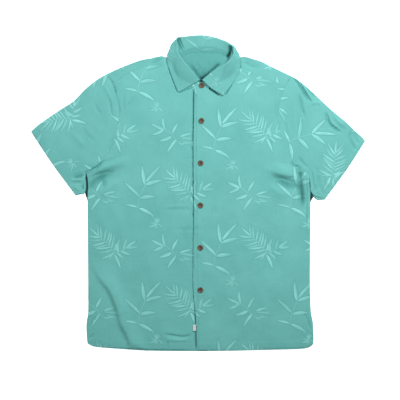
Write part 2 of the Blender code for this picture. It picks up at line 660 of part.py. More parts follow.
def collar_section(row):
    """Middle line of the collar at one row of its table."""
    part = dict(zip(COLLAR_COLUMNS, row))
    seam = np.array([part["seam_x"], part["seam_y"]])
    if part["lies"] == "under":
        seam_z = COLLAR_LIFT + COLLAR_WALL / 2
    elif part["seam_x"] > 0:
        seam_z = top_front_bottom(seam)[0] + COLLAR_WALL / 2
    else:
        seam_z = upper_bottom(seam)[0] + COLLAR_WALL / 2
    heading, turn = math.radians(part["heading"]), math.radians(part["turn"])
    out = np.array([math.cos(heading), math.sin(heading), 0])
    up = np.array([0, 0, 1.0])
    ahead = -math.cos(turn) * out + math.sin(turn) * up
    across = math.cos(turn) * up + math.sin(turn) * out
    radius = part["radius"]
    centre = np.array([part["roll_x"], part["roll_y"], part["roll_z"]]) - ahead * radius
    start = np.array([seam[0], seam[1], seam_z])
    roll = [centre + radius * (math.sin(a) * across + math.cos(a) * ahead)
            for a in np.radians(np.linspace(-90, 90, ROLL_STEPS + 1))]
    stand = [start + (roll[0] - start) * i / STAND_STEPS for i in range(STAND_STEPS)]
    edge = np.array([part["edge_x"], part["edge_y"]])
    middle = (roll[-1][:2] + edge) / 2 + part["bow"] * 2 * out[:2]
    fall = []
    for i in range(1, FALL_STEPS + 1):
        t = i / FALL_STEPS
        spot = (1 - t) ** 2 * roll[-1][:2] + 2 * t * (1 - t) * middle + t * t * edge
        base = rest_height(part, spot, t)
        z = base + (roll[-1][2] - base) * (1 - t) ** part["drop"]
        fall.append(np.array([spot[0], spot[1], z]))
    return np.array(stand + roll + fall)


def rest_height(part, spot, t):
    """Height of the fall's middle where it lies on what is beneath it."""
    if part["lies"] == "under":
        return COLLAR_WALL / 2
    if part["lies"] == "wraps":
        return part["lift"]
    return fronts_top(spot)[0] + LAYER_GAP + COLLAR_WALL / 2 + part["lift"] * t


def make_collar():
    """The collar: one wall from the neck seam over the roll to the edge, all round the neck."""
    sections = np.array([collar_section(row) for row in COLLAR_ROWS])
    flat = smooth(sections.reshape(len(sections), -1), COLLAR_STEPS)
    grid = flat.reshape(len(flat), sections.shape[1], 3)
    first_fall = STAND_STEPS + ROLL_STEPS + 1
    for i, line in enumerate(grid):
        row = i / COLLAR_STEPS
        line[:, 2] = np.maximum(line[:, 2], COLLAR_WALL / 2)
        if row <= RIGHT_NECK_CORNER or row >= LEFT_NECK_CORNER:
            fall = line[first_fall:]
            rest = fronts_top(fall[:, :2]) + LAYER_GAP + COLLAR_WALL / 2 + COLLAR_CLEAR
            fall[:, 2] = np.maximum(fall[:, 2], rest)
    cloth = Cloth()
    cloth.points = [tuple(p) for p in grid.reshape(-1, 3)]
    count = grid.shape[1]
    for i in range(len(grid) - 1):
        for j in range(count - 1):
            a = i * count + j
            cloth.faces.append([a, a + 1, a + count + 1, a + count])
    cloth.solid("collar", "collar_cloth", COLLAR_WALL)


def make_button(name, x, y):
    """A turned button with a rim, seated just above the top front."""
    ring = np.array([(x + BUTTON_FOOT * math.cos(a), y + BUTTON_FOOT * math.sin(a))
                     for a in np.linspace(0, 2 * math.pi, BUTTON_SIDES, endpoint=False)])
    seat = fronts_top(np.vstack([ring, [(x, y)]])).max() + BUTTON_SEAT
    bm = bmesh.new()
    verts = [bm.verts.new((x + r, y, seat + z)) for r, z in BUTTON_PROFILE]
    edges = [bm.edges.new(pair) for pair in zip(verts, verts[1:])]
    bmesh.ops.spin(bm, geom=verts + edges, cent=(x, y, 0), axis=(0, 0, 1), angle=2 * math.pi,
                   steps=BUTTON_SIDES, use_merge=True)
    bmesh.ops.remove_doubles(bm, verts=bm.verts, dist=1e-3)
    bmesh.ops.recalc_face_normals(bm, faces=bm.faces)
    finish_object(name, bm, "wood")


def make_buttons():
    """The six buttons down the front, the first just under the collar."""
    for i, x in enumerate(BUTTON_X):
        y = BUTTON_SECOND_Y - BUTTON_PITCH * (i - 1) if i else BUTTON_FIRST_Y
        make_button("button_%d" % (i + 1), x, y)


def make_tab():
    """A small blank tape, sewn in at the top front's edge and lying on the other front."""
    half = TAB_SIZE[1] / 2
    right = min(placket_x(TAB_Y - half), placket_x(TAB_Y + half)) - 2 * SEAM_GAP
    left = right - TAB_SIZE[0]
    ring = [(left, TAB_Y - half), (right, TAB_Y - half), (right, TAB_Y), (right, TAB_Y + half),
            (left, TAB_Y + half), (left, TAB_Y)]
    panel("tab", ring, TAB_PITCH, lambda p: upper_bottom(p) + WALL + LAYER_GAP, "white_tape")


def make_materials():
    """One plain material for each kind of cloth, wood and tape."""
    for name, (colour, roughness) in MATERIALS.items():
        material = bpy.data.materials.new(name)
        material.use_nodes = True
        shader = material.node_tree.nodes["Principled BSDF"]
        shader.inputs["Base Color"].default_value = (*colour, 1)
        shader.inputs["Roughness"].default_value = roughness
        shader.inputs["Metallic"].default_value = 0.0
        material.diffuse_color = (*colour, 1)


def main():
    """Remove what the scene holds and make the shirt."""
    for obj in list(bpy.data.objects):
        bpy.data.objects.remove(obj)
    make_materials()
    make_back()
    make_yoke()
    for side in SIDES:
        make_front(side)
        make_sleeve(side)
    make_collar()
    make_buttons()
    make_tab()


main()
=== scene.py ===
"""The looks of a camp collar shirt, buttoned and laid flat: cloth, leaf weave, seams, buttons and light.

Each cloth piece is a thin shell made from one layer of its CAD solid, refined until it is smooth and then
given its creases. Tables are in millimetres. The neck points to +Y; "right" and "left" are the wearer's.
"""
import functools
import math

import bmesh
import bpy
import numpy as np
from mathutils import Matrix, Vector, noise
from mathutils.bvhtree import BVHTree


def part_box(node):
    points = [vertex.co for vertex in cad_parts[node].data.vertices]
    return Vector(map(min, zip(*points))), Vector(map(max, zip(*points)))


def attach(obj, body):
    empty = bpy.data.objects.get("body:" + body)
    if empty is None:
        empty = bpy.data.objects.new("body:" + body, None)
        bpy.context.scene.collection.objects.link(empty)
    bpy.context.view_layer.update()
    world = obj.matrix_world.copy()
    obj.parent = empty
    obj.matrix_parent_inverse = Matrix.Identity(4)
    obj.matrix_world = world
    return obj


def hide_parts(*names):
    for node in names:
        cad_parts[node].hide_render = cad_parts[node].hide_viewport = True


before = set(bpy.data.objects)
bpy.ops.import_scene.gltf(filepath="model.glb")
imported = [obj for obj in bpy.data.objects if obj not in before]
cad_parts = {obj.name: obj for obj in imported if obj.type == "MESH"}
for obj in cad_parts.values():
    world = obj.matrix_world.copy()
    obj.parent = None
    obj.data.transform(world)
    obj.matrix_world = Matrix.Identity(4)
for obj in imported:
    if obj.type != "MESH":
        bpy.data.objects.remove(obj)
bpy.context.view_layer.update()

MM = 0.001

# ---------------------------------------------------------------- sizes, mm
WELD = 0.01              # points of the frame's meshes nearer than this are one
CLOTH = 0.7              # thickness of the body's cloth
COLLAR_CLOTH = 1.0       # and of the two layers of the collar
SAME_LAYER = 0.35        # neighbouring facets whose normals agree this far are one layer
CORNER_TURN = 38.0       # degrees: sharper corners of an outline are kept

# Cloth pieces: the layer of the solid that is taken, rounds of refinement, direction of the grain in
# degrees, flat size of the cut and its area in square metres.
PIECES = {
    "back": ("under", 4, 0, (0.57, 0.64), 0.329),
    "yoke": ("outer", 3, 0, (0.46, 0.16), 0.049),
    "front_right": ("top", 3, 0, (0.31, 0.72), 0.196),
    "front_left": ("top", 3, 0, (0.30, 0.71), 0.184),
    "sleeve_right": ("outer", 3, 52, (0.39, 0.25), 0.070),
    "sleeve_left": ("outer", 3, -52, (0.39, 0.25), 0.071),
    "collar": ("outer", 2, 0, (0.45, 0.085), 0.031),
}

# ---------------------------------------------------------------- creases of the upper layer, mm
# height: positive for a ridge, negative for a trough. left and right: half-widths beside the line, seen
# along its run. fade: share of the length over which it comes up at its start and goes down at its end.
# A trough also darkens the cloth's colour by its depth: painted shade in the crease.
CREASES = [
    # the long fold over the wearer's right hem
    (-1.0, 26, 30, (0.4, 0.1), [(-266, -162), (-242, -196), (-222, -226), (-206, -262), (-196, -300)]),
    (-0.8, 30, 26, (0.4, 0.1), [(-276, -186), (-256, -216), (-234, -244), (-214, -282), (-206, -318)]),
    (-0.9, 22, 28, (0.4, 0.1), [(-210, -262), (-198, -300), (-190, -330), (-177, -354), (-164, -388)]),
    # armpit, wearer's right
    (2.4, 20, 10, (0.3, 0.3), [(-272, 60), (-250, 74), (-224, 88), (-200, 92)]),
    (-3.4, 24, 26, (0.3, 0.45), [(-274, 0), (-260, 26), (-238, 40), (-206, 50)]),
    (-3.6, 14, 20, (0.25, 0.45), [(-276, 0), (-266, 24), (-252, 38), (-232, 47), (-204, 55)]),
    (-2.6, 16, 14, (0.3, 0.5), [(-258, 32), (-238, 42), (-212, 54), (-190, 60)]),
    (2.6, 16, 22, (0.3, 0.4), [(-256, -16), (-232, 6), (-206, 24), (-176, 38)]),
    (-3.6, 8, 8, (0.3, 0.5), [(-240, 38), (-234, 24), (-244, 6)]),
    (-6.6, 4, 5, (0.15, 0.4), [(-284, 44), (-268, 57), (-250, 67), (-232, 84)]),
    (-8.0, 9, 11, (0.5, 0.15), [(-316, 36), (-302, 42), (-285, 46)]),
    (-4.0, 6, 6, (0.4, 0.3), [(-318, 24), (-304, 27), (-285, 26)]),
    (1.6, 8, 8, (0.4, 0.3), [(-316, 33), (-290, 35)]),
    (1.8, 9, 9, (0.4, 0.3), [(-312, 18), (-294, 6)]),
    (-2.0, 6, 5, (0.3, 0.3), [(-292, 24), (-290, 6)]),
    (-2.4, 12, 16, (0.4, 0.4), [(-302, 173), (-278, 148), (-252, 120)]),
    (1.6, 12, 14, (0.4, 0.4), [(-322, 160), (-294, 130), (-276, 104)]),
    # shoulder and armhole, wearer's right
    (-3.2, 6, 8, (0.3, 0.4), [(-224, 292), (-211, 268), (-203, 238)]),
    (1.6, 8, 8, (0.3, 0.4), [(-236, 272), (-222, 246), (-214, 222)]),
    (-2.2, 6, 6, (0.4, 0.5), [(-224, 244), (-218, 212), (-212, 176)]),
    (-2.0, 6, 6, (0.4, 0.5), [(-203, 242), (-197, 212), (-198, 180)]),
    (-2.0, 8, 7, (0.4, 0.5), [(-150, 258), (-168, 228), (-192, 192)]),
    (1.3, 9, 9, (0.4, 0.5), [(-176, 266), (-180, 232), (-180, 190)]),
    (-1.4, 6, 7, (0.4, 0.5), [(-208, 150), (-222, 116), (-228, 92)]),
    (-1.2, 7, 6, (0.4, 0.4), [(-262, 232), (-250, 206), (-238, 190)]),
    # shoulder and sleeve, wearer's left
    (-7.6, 6, 10, (0.15, 0.4), [(236, 296), (250, 277), (262, 258), (275, 236), (290, 222)]),
    (3.4, 10, 8, (0.3, 0.3), [(262, 286), (281, 262), (300, 240)]),
    (-2.6, 5, 6, (0.3, 0.3), [(268, 270), (282, 250), (296, 236)]),
    (1.8, 8, 8, (0.3, 0.3), [(276, 222), (296, 226), (312, 220)]),
    (-3.6, 7, 9, (0.3, 0.4), [(251, 250), (259, 214), (268, 180)]),
    (-2.4, 7, 6, (0.3, 0.4), [(256, 186), (253, 158), (254, 130)]),
    (1.4, 9, 9, (0.4, 0.4), [(238, 236), (240, 196), (238, 150)]),
    (-5.6, 6, 10, (0.25, 0.3), [(316, 206), (323, 188), (330, 172), (344, 160), (362, 148)]),
    (3.2, 12, 10, (0.3, 0.4), [(334, 200), (350, 180), (374, 160)]),
    (-3.4, 7, 7, (0.3, 0.2), [(384, 156), (378, 138), (384, 122), (392, 106)]),
    (-2.6, 6, 7, (0.3, 0.3), [(394, 160), (392, 142), (402, 120)]),
    (-1.8, 10, 12, (0.5, 0.5), [(186, 256), (194, 214), (198, 156)]),
    (-1.8, 5, 6, (0.4, 0.5), [(176, 146), (182, 126), (184, 106)]),
    (-1.6, 7, 6, (0.4, 0.5), [(214, 196), (220, 160), (236, 118)]),
    # armpit, wearer's left
    (1.5, 14, 24, (0.3, 0.3), [(182, 76), (206, 62), (240, 52)]),
    (-3.0, 18, 26, (0.35, 0.2), [(188, 38), (220, 26), (262, 12)]),
    (-2.6, 13, 26, (0.35, 0.2), [(176, 50), (194, 37), (216, 28), (238, 23), (256, 21)]),
    (-5.0, 15, 15, (0.25, 0.3), [(247, 44), (253, 20), (258, -10), (262, -50)]),
    (-3.4, 13, 12, (0.3, 0.3), [(244, 64), (256, 52), (266, 38)]),
    (-2.0, 14, 14, (0.3, 0.4), [(196, 40), (217, 25), (234, 6)]),
    (2.0, 14, 20, (0.3, 0.3), [(178, 20), (200, 2), (226, -10)]),
    (4.0, 9, 4, (0.12, 0.5), [(272, 50), (273, 28), (274, -8), (274, -70), (273, -130)]),
    (-7.6, 17, 9, (0.1, 0.3), [(252, 58), (258, 28), (261, 0), (264, -36)]),
    (-5.6, 4, 5, (0.2, 0.3), [(232, 80), (240, 68), (250, 66), (260, 54)]),
    (-2.4, 6, 6, (0.3, 0.3), [(248, 92), (262, 74), (276, 62)]),
    (3.0, 7, 7, (0.3, 0.3), [(286, 66), (292, 38), (298, 8)]),
    (-3.6, 6, 6, (0.2, 0.3), [(298, 46), (304, 20), (316, -6)]),
    (-6.0, 3, 3, (0.1, 0.2), [(284, 2), (292, -6), (302, -13), (312, -15)]),
    (1.6, 8, 9, (0.3, 0.3), [(318, 60), (320, 34), (330, 12)]),
    # across the middle and at the hem
    (-1.3, 5, 7, (0.35, 0.35), [(-104, -43), (-55, -41), (-8, -41), (38, -42), (88, -45)]),
    (0.8, 6, 6, (0.35, 0.35), [(-100, -34), (-8, -32), (84, -36)]),
    (-1.0, 7, 9, (0.4, 0.4), [(-86, -91), (-8, -90), (72, -91)]),
    (-1.5, 11, 12, (0.4, 0.4), [(-32, -84), (-36, -108), (-28, -132)]),
    (-2.4, 5, 9, (0.2, 0.2), [(-88, -352), (-60, -356), (-34, -359), (-12, -349)]),
    (1.3, 8, 8, (0.3, 0.3), [(-84, -365), (-50, -368), (-22, -364)]),
    (-1.4, 5, 5, (0.2, 0.2), [(-76, -370), (-77, -396)]),
    (-1.8, 5, 6, (0.3, 0.3), [(-254, -308), (-262, -323), (-272, -338)]),
    (-1.6, 5, 5, (0.3, 0.3), [(-260, -350), (-272, -366)]),
    (-1.8, 5, 5, (0.3, 0.3), [(264, -296), (273, -318), (281, -344)]),
    # the hem's lower edge, and along and beside the collar's leaves: troughs whose painted shade stands for
    # the shadow there
    (-5.0, 3, 3, (0.02, 0.02), [(-262, -386), (-120, -392), (27, -395)]),
    (-5.0, 3, 3, (0.02, 0.02), [(27, -395), (160, -392), (279, -387)]),
    (-6.5, 3, 3, (0.1, 0.1), [(-78, 342), (-77, 326), (-65, 290), (-50, 250)]),
    (-6.5, 3, 3, (0.1, 0.1), [(-50, 250), (-28, 258), (-9, 266)]),
    (-6.0, 3, 3, (0.1, 0.1), [(67, 243), (87, 280), (106, 318)]),
    (-7.5, 3, 4, (0.1, 0.4), [(106, 340), (107, 326), (104, 310)]),
    (-3.4, 10, 13, (0.2, 0.5), [(104, 332), (130, 323), (164, 310)]),
    (-5.0, 4, 7, (0.15, 0.5), [(-80, 340), (-100, 331), (-124, 318)]),
    (-2.4, 9, 12, (0.3, 0.5), [(-84, 326), (-108, 312), (-136, 300)]),
    # broad soft ones
    (2.2, 24, 28, (0.4, 0.5), [(-240, -52), (-226, -112), (-240, -172)]),
    (-1.8, 28, 28, (0.4, 0.5), [(-188, -16), (-172, -86), (-184, -150)]),
    (-2.0, 30, 26, (0.4, 0.5), [(212, -66), (198, -150), (214, -232)]),
    (1.8, 26, 24, (0.4, 0.5), [(148, -232), (168, -300), (160, -360)]),
    (-1.6, 28, 24, (0.5, 0.5), [(72, 200), (108, 132), (118, 60)]),
    (-1.5, 24, 24, (0.5, 0.5), [(-72, 214), (-98, 150), (-128, 92)]),
    (-1.8, 22, 26, (0.5, 0.5), [(-92, -190), (-118, -262), (-126, -334)]),
    (1.6, 26, 22, (0.5, 0.5), [(236, -110), (246, -190), (238, -266)]),
    (-1.4, 22, 24, (0.5, 0.5), [(60, -130), (92, -210), (84, -300)]),
]

# Creases of one piece alone: both sides of the placket, the gaps at the armpits, and the neck. Their troughs
# give mostly painted shade, as the cloth can't sink far: the placket's shadow line, near black armpit gaps,
# the shadow under a collar leaf's edge, the shade in the neck and the collar's dark wedges.
OWN_CREASES = {
    "front_right": [
        (-1.6, 7, 14, (0.02, 0.02), [(-10, 262), (-10, 120), (-8, -60), (-6, -250), (-4, -392)]),
        (-11, 2.8, 2.8, (0.02, 0.02), [(-10.5, 264), (-11.5, 120), (-9.5, -60), (-7, -250), (-5.5, -393)]),
        (-15, 4, 4, (0.15, 0.2), [(-280, 48), (-277, 28), (-275, 8)]),
    ],
    "front_left": [
        (1.3, 9, 2, (0.02, 0.02), [(-3, 262), (-3, 120), (-1, -60), (1, -250), (3, -392)]),
        (-15, 3.8, 3.6, (0.05, 0.1), [(15, 271), (35, 257), (55, 243)]),
        (-12, 4, 4, (0.2, 0.2), [(277, 40), (278, 22), (281, 0)]),
    ],
    "sleeve_right": [
        (-15, 4, 4, (0.15, 0.2), [(-281, 48), (-279, 28), (-280, 8), (-286, -4)]),
        (-9, 3, 3, (0.3, 0.3), [(-286, 26), (-288, 17), (-287, 8)]),
    ],
    "sleeve_left": [(-15, 4, 4, (0.2, 0.2), [(279, 36), (280, 22), (283, 4), (290, -6)])],
    "yoke": [
        (-11, 9.4, 9.4, (0.5, 0.05), [(-28, 338), (-12, 314), (4, 291), (10, 276)]),
        (-13, 9.4, 9.4, (0.2, 0.05), [(60, 330), (40, 312), (22, 296), (10, 276)]),
        (-8, 9.4, 9.4, (0.6, 0.05), [(18, 324), (14, 302), (10, 276)]),
        (-4.4, 7, 7, (0.4, 0.4), [(-8, 332), (4, 318), (2, 304)]),
        (-4.0, 6, 6, (0.4, 0.4), [(22, 336), (30, 322), (24, 312)]),
        (-4.0, 8, 6, (0.4, 0.4), [(46, 338), (40, 326), (32, 318)]),
    ],
    "collar": [
        (-17.0, 13, 8, (0.2, 0.5), [(80, 372), (79, 352), (68, 337), (54, 324)]),
        (-11.5, 8, 6, (0.15, 0.7), [(-50, 388), (-42, 364), (-30, 340)]),
        (-4.0, 8, 8, (0.3, 0.4), [(26, 334), (34, 350), (36, 368)]),
        (-3.4, 6, 7, (0.3, 0.4), [(-10, 330), (-4, 344), (-8, 360)]),
        (-4.4, 6, 7, (0.3, 0.4), [(48, 332), (56, 348), (58, 360)]),
        (-1.4, 7, 7, (0.4, 0.4), [(-66, 330), (-58, 306), (-50, 284)]),
        (-1.4, 8, 7, (0.4, 0.4), [(72, 322), (64, 296), (60, 272)]),
    ],
}

# The same for the underside, where a crease can only be a hollow above the floor.
UNDER_CREASES = [
    (0.45, 9, 12, (0.4, 0.4), [(-200, 180), (-120, 120), (-60, 90)]),
    (0.45, 10, 10, (0.4, 0.4), [(210, 150), (150, 60), (120, -30)]),
    (0.4, 12, 9, (0.4, 0.4), [(-230, -60), (-150, -120), (-90, -210)]),
    (0.4, 9, 9, (0.4, 0.4), [(-20, -120), (60, -180), (150, -200)]),
    (0.45, 8, 8, (0.4, 0.4), [(230, -220), (170, -290), (150, -370)]),
    (0.4, 8, 8, (0.4, 0.4), [(-190, -260), (-170, -320), (-176, -380)]),
]

CREASE_EDGE = 0.55       # share of a crease's section that comes to an edge at its line
CREASE_STEPS = 6         # steps of its line between two of its points
FINE_CREASE = 9.5        # creases with half-widths up to this get a finer mesh
LOWEST_TOP = 1.65        # the upper cloth stays above the layer beneath it
ON_FLOOR = 1.2           # cloth lower than this lies on the floor
UP_FROM, UP_OVER = 0.1, 0.6  # the cloth takes creases where its normal's height passes through this range
DOWN, UNDER_TOP = -0.3, 1.0  # the underside's normals are lower than this, and so are its points
PAINTED_SHADE_DEPTH = 6.0       # depth of trough whose painted shade counts as 1
PAINTED_SHADE_MOST = 2.6        # and the most painted shade, where the cloth is darkest
GAP_SPREAD = 4           # how fast the cloth pulled into a gap gets its painted shade
WAVES = [(1.5, 85.0, 3.7), (0.45, 26.0, 8.1)]   # soft unevenness: height, length and seed
BUTTON_CALM = (13.0, 30.0)   # the cloth keeps to its solid this near a button

# Small moves in plan: piece, middle and half-widths of the place, and the move.
PULLS = [
    ("back", (-281, 22), (24, 44), (-8.0, 0)),
    ("back", (-280, -2), (22, 20), (-3.0, 0)),
    ("back", (281, 26), (26, 44), (9.0, 0)),
    ("back", (284, -4), (24, 20), (6.0, -3.0)),
    ("yoke", (-90, 338), (34, 13), (0, 4.0)),
    ("yoke", (114, 338), (34, 13), (0, 5.0)),
    ("collar", (-56, 380), (26, 22), (-3.0, 3.5)),
    ("collar", (-78, 356), (14, 20), (3.5, 0)),
    ("collar", (101, 352), (14, 22), (-6.0, 0)),
    ("collar", (32, 262), (46, 26), (-3.2, -1.2)),
    ("sleeve_right", (-360, 80), (100, 120), (-2.2, -1.6)),
    ("sleeve_left", (360, 70), (100, 120), (2.2, -1.4)),
    ("sleeve_left", (290, -10), (14, 12), (-3.0, -3.0)),
    ("front_left", (279, 24), (14, 44), (1.6, 0)),
    ("sleeve_left", (284, 16), (22, 34), (-3.0, 0)),
    ("sleeve_right", (-286, 8), (18, 30), (1.2, 0)),
]
COLLAR_LOWEST = 3.4      # the collar's creases stay above this
NECK_MIDDLE, NECK_HALF = (14, 318), (84, 52)     # the opening of the neck, in plan
NECK_EDGE = 4            # how sharply it ends
NECK_DEEP, NECK_FADE = 330.0, 50.0     # below this y its cloth gets more painted shade, over this length
INSIDE_DULL_AND_SHADE = 0.6        # share of the duller wrong side, with painted shade, that shows in it
STAND_TOP, STAND_FADE = 14.0, 8.0      # the collar's stand takes the duller colour with painted shade below this height

# Seam allowances: piece, plan points where the seam starts and ends, width, and how far it goes down.
ALLOWANCES = [
    ("sleeve_left", (226, 280), (272, 50), 3.0, 0.8),
    ("sleeve_right", (-223, 284), (-274, 58), 3.0, 0.8),
    ("yoke", (219, 268), (81, 317), 3.0, 0.8),
    ("yoke", (-215, 274), (-49, 321), 3.0, 0.8),
    ("collar", (-48, 326), (80, 324), 4.0, 1.0),
]
ALLOWANCE_START = 0.1    # share of its full width with which an allowance starts
ALLOWANCE_SINK = 0.05    # it lies this much lower than the cloth's edge

# ---------------------------------------------------------------- hems and sewing, mm
# Each seam: piece, plan points where it starts and ends, distance of its stitches from the edge, and how
# much thicker the cloth is between them.
SEAMS = [
    ("front_left", (-3, -394), (279, -386), 21, 0.45),
    ("front_left", (279, -386), (282, -300), 7, 0.35),
    ("front_left", (-8, 268), (-3, -394), 2.2, 0.3),
    ("front_left", (219, 268), (277, 45), 2.0, 0.0),
    ("front_left", (219, 268), (81, 317), 1.8, 0.0),
    ("front_right", (27, -394), (-266, -384), 21, 0.45),
    ("front_right", (-266, -384), (-275, -300), 7, 0.35),
    ("front_right", (-215, 274), (-280, 52), 2.0, 0.0),
    ("front_right", (-215, 274), (-49, 321), 1.8, 0.0),
    ("sleeve_right", (-417, 154), (-287, -4), 24, 0.45),
    ("sleeve_left", (417, 130), (287, -2), 24, 0.45),
]
NO_STITCH = 99.0         # distance from the stitches where there are none
SEWN_UP = 0.3            # cloth is sewn and thickened where its normal's height is over this
SEAM_FADE = 40           # a hem's thickness comes up over its length divided by this
HEM_EDGE = 3.0           # and ends beside the stitches over this width
AVOID = 50.0             # an outline's point on the floor counts as this much farther off
STITCH_PITCH = 3.0
STITCH_SIZE = (2.1, 0.42, 0.26)
STITCH_TOP = (3.4, 0.3)  # its top's half-width is its width divided by this, and how much shorter it is
STITCH_STEP = 1.5        # none where the cloth rises by more than this
THREAD_SINK = 0.06
ROW_POINTS = 160         # a row of stitches follows about this many points
RAY_TOP = 60.0           # heights are looked up from here
PROBE = 2                # the side where the cloth is is looked up at least this far from its edge
TAPE = 0.35              # thickness of the tab's tape


# ---------------------------------------------------------------- small helpers

def ease(t):
    """Smooth step from 0 to 1."""
    t = np.clip(t, 0, 1)
    return t * t * (3 - 2 * t)


def smooth(points, steps):
    """A smooth curve through the points, with this many steps between each two."""
    pts = np.array(points, float)
    ext = np.vstack([2 * pts[0] - pts[1], pts, 2 * pts[-1] - pts[-2]])
    out = []
    for a, b, c, d in zip(ext, ext[1:], ext[2:], ext[3:]):
        for t in np.arange(steps) / steps:
            out.append(0.5 * (2 * b + (c - a) * t + (2 * a - 5 * b + 4 * c - d) * t * t
                              + (3 * b - a - 3 * c + d) * t ** 3))
    out.append(pts[-1])
    return np.array(out)


def lengths(points):
    """Distance along the polyline at each of its points."""
    steps = np.linalg.norm(np.diff(points, axis=0), axis=1)
    return np.concatenate([[0], np.cumsum(steps)])


def line_distance(p, line):
    """Distance of each plan point to the line, its side (left is positive) and share of its length."""
    a, b = line[:-1], line[1:]
    run = b - a
    size = np.maximum(np.linalg.norm(run, axis=1), 1e-9)
    best = np.full(len(p), np.inf)
    side = np.zeros(len(p))
    share = np.zeros(len(p))
    at = lengths(line)
    for k in range(len(a)):
        rel = p - a[k]
        t = np.clip(rel @ run[k] / size[k] ** 2, 0, 1)
        dist = np.hypot(rel[:, 0] - t * run[k, 0], rel[:, 1] - t * run[k, 1])
        near = dist < best
        best[near] = dist[near]
        side[near] = (run[k, 0] * rel[:, 1] - run[k, 1] * rel[:, 0])[near]
        share[near] = ((at[k] + t * size[k]) / at[-1])[near]
    return best, side, share


def near_line(plan, line, reach):
    """Which plan points are in the line's box, widened by reach."""
    low, high = line.min(axis=0) - reach, line.max(axis=0) + reach
    return np.flatnonzero(((plan > low) & (plan < high)).all(axis=1))


def off_middle(points, middle, half):
    """Square of each point's distance in plan from the middle of a place, in its half-widths."""
    return (((points[:, :2] - middle) / half) ** 2).sum(axis=1)


def crease_rise(plan, table):
    """Height that the table's creases add at each plan point."""
    rise = np.zeros(len(plan))
    for height, left, right, (start, end), points in table:
        line = smooth(points, CREASE_STEPS)
        near = near_line(plan, line, max(left, right))
        if not len(near):
            continue
        dist, side, share = line_distance(plan[near], line)
        width = np.where(side > 0, left, right)
        part = np.clip(dist / width, 0, 1)
        bump = (1 - CREASE_EDGE) * (1 - part ** 2) ** 2 + CREASE_EDGE * (1 - part) ** 2
        bump *= ease(share / start) * ease((1 - share) / end)
        rise[near] += height * bump
    return rise


# ---------------------------------------------------------------- shells from the frame

def welded(node):
    """Points in mm and triangles of a CAD node."""
    bm = bmesh.new()
    bm.from_mesh(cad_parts[node].data)
    bmesh.ops.remove_doubles(bm, verts=bm.verts, dist=WELD * MM)
    bmesh.ops.triangulate(bm, faces=bm.faces)
    points = np.array([v.co[:] for v in bm.verts]) / MM
    faces = np.array([[v.index for v in face.verts] for face in bm.faces])
    bm.free()
    return points, faces


def face_normals(points, faces):
    """Normals of the faces, as long as twice their areas."""
    a, b, c = (points[faces[:, k]] for k in range(3))
    return np.cross(b - a, c - a)


def layers(points, faces):
    """Number of the smooth layer that each face is in."""
    normals = face_normals(points, faces)
    units = normals / np.maximum(np.linalg.norm(normals, axis=1), 1e-9)[:, None]
    across = {}
    for f, face in enumerate(faces):
        for i, j in zip(face, np.roll(face, -1)):
            across.setdefault((min(i, j), max(i, j)), []).append(f)
    beside = [[] for _ in faces]
    for pair in across.values():
        if len(pair) == 2 and units[pair[0]] @ units[pair[1]] > SAME_LAYER:
            beside[pair[0]].append(pair[1])
            beside[pair[1]].append(pair[0])
    number = np.full(len(faces), -1)
    for seed in range(len(faces)):
        if number[seed] >= 0:
            continue
        number[seed] = seed
        stack = [seed]
        while stack:
            for g in beside[stack.pop()]:
                if number[g] < 0:
                    number[g] = seed
                    stack.append(g)
    return number, normals


def pick_layer(points, faces, which):
    """The faces of one layer: the top one, the one underneath, or the larger side of a folded wall."""
    number, normals = layers(points, faces)
    areas = np.linalg.norm(normals, axis=1) / 2
    scores = {}
    for name in np.unique(number):
        part = number == name
        area = areas[part].sum()
        facing = normals[part, 2].sum() / 2
        scores[name] = {"top": facing, "under": -facing, "outer": area}[which]
    best = max(scores, key=scores.get)
    return faces[number == best]


def compact(points, faces):
    """Only the points that the faces use."""
    used, back = np.unique(faces, return_inverse=True)
    return points[used], back.reshape(faces.shape)


def edges_of(faces):
    """Edges of the triangles once each, where each face's are among them, and how many faces share them."""
    pairs = np.sort(np.vstack([faces[:, [0, 1]], faces[:, [1, 2]], faces[:, [2, 0]]]), axis=1)
    edges, where, counts = np.unique(pairs, axis=0, return_inverse=True, return_counts=True)
    return edges, where.ravel(), counts


def border_loops(faces):
    """The closed outlines of a sheet, as lists of points in the faces' own turning sense."""
    _, where, counts = edges_of(faces)
    directed = np.vstack([faces[:, [0, 1]], faces[:, [1, 2]], faces[:, [2, 0]]])
    after = {int(i): int(j) for i, j in directed[counts[where] == 1]}
    loops = []
    while after:
        first, follow = after.popitem()
        loop = [first]
        while follow != first:
            loop.append(follow)
            follow = after.pop(follow)
        loops.append(np.array(loop))
    return sorted(loops, key=len, reverse=True)


def corners(points, faces):
    """Points where the outline turns sharply."""
    found = []
    for loop in border_loops(faces):
        p = points[loop]
        ahead = np.roll(p, -1, axis=0) - p
        behind = p - np.roll(p, 1, axis=0)
        cosine = (ahead * behind).sum(1) / np.linalg.norm(ahead, axis=1) / np.linalg.norm(behind, axis=1)
        found.append(loop[cosine < math.cos(math.radians(CORNER_TURN))])
    return np.concatenate(found)


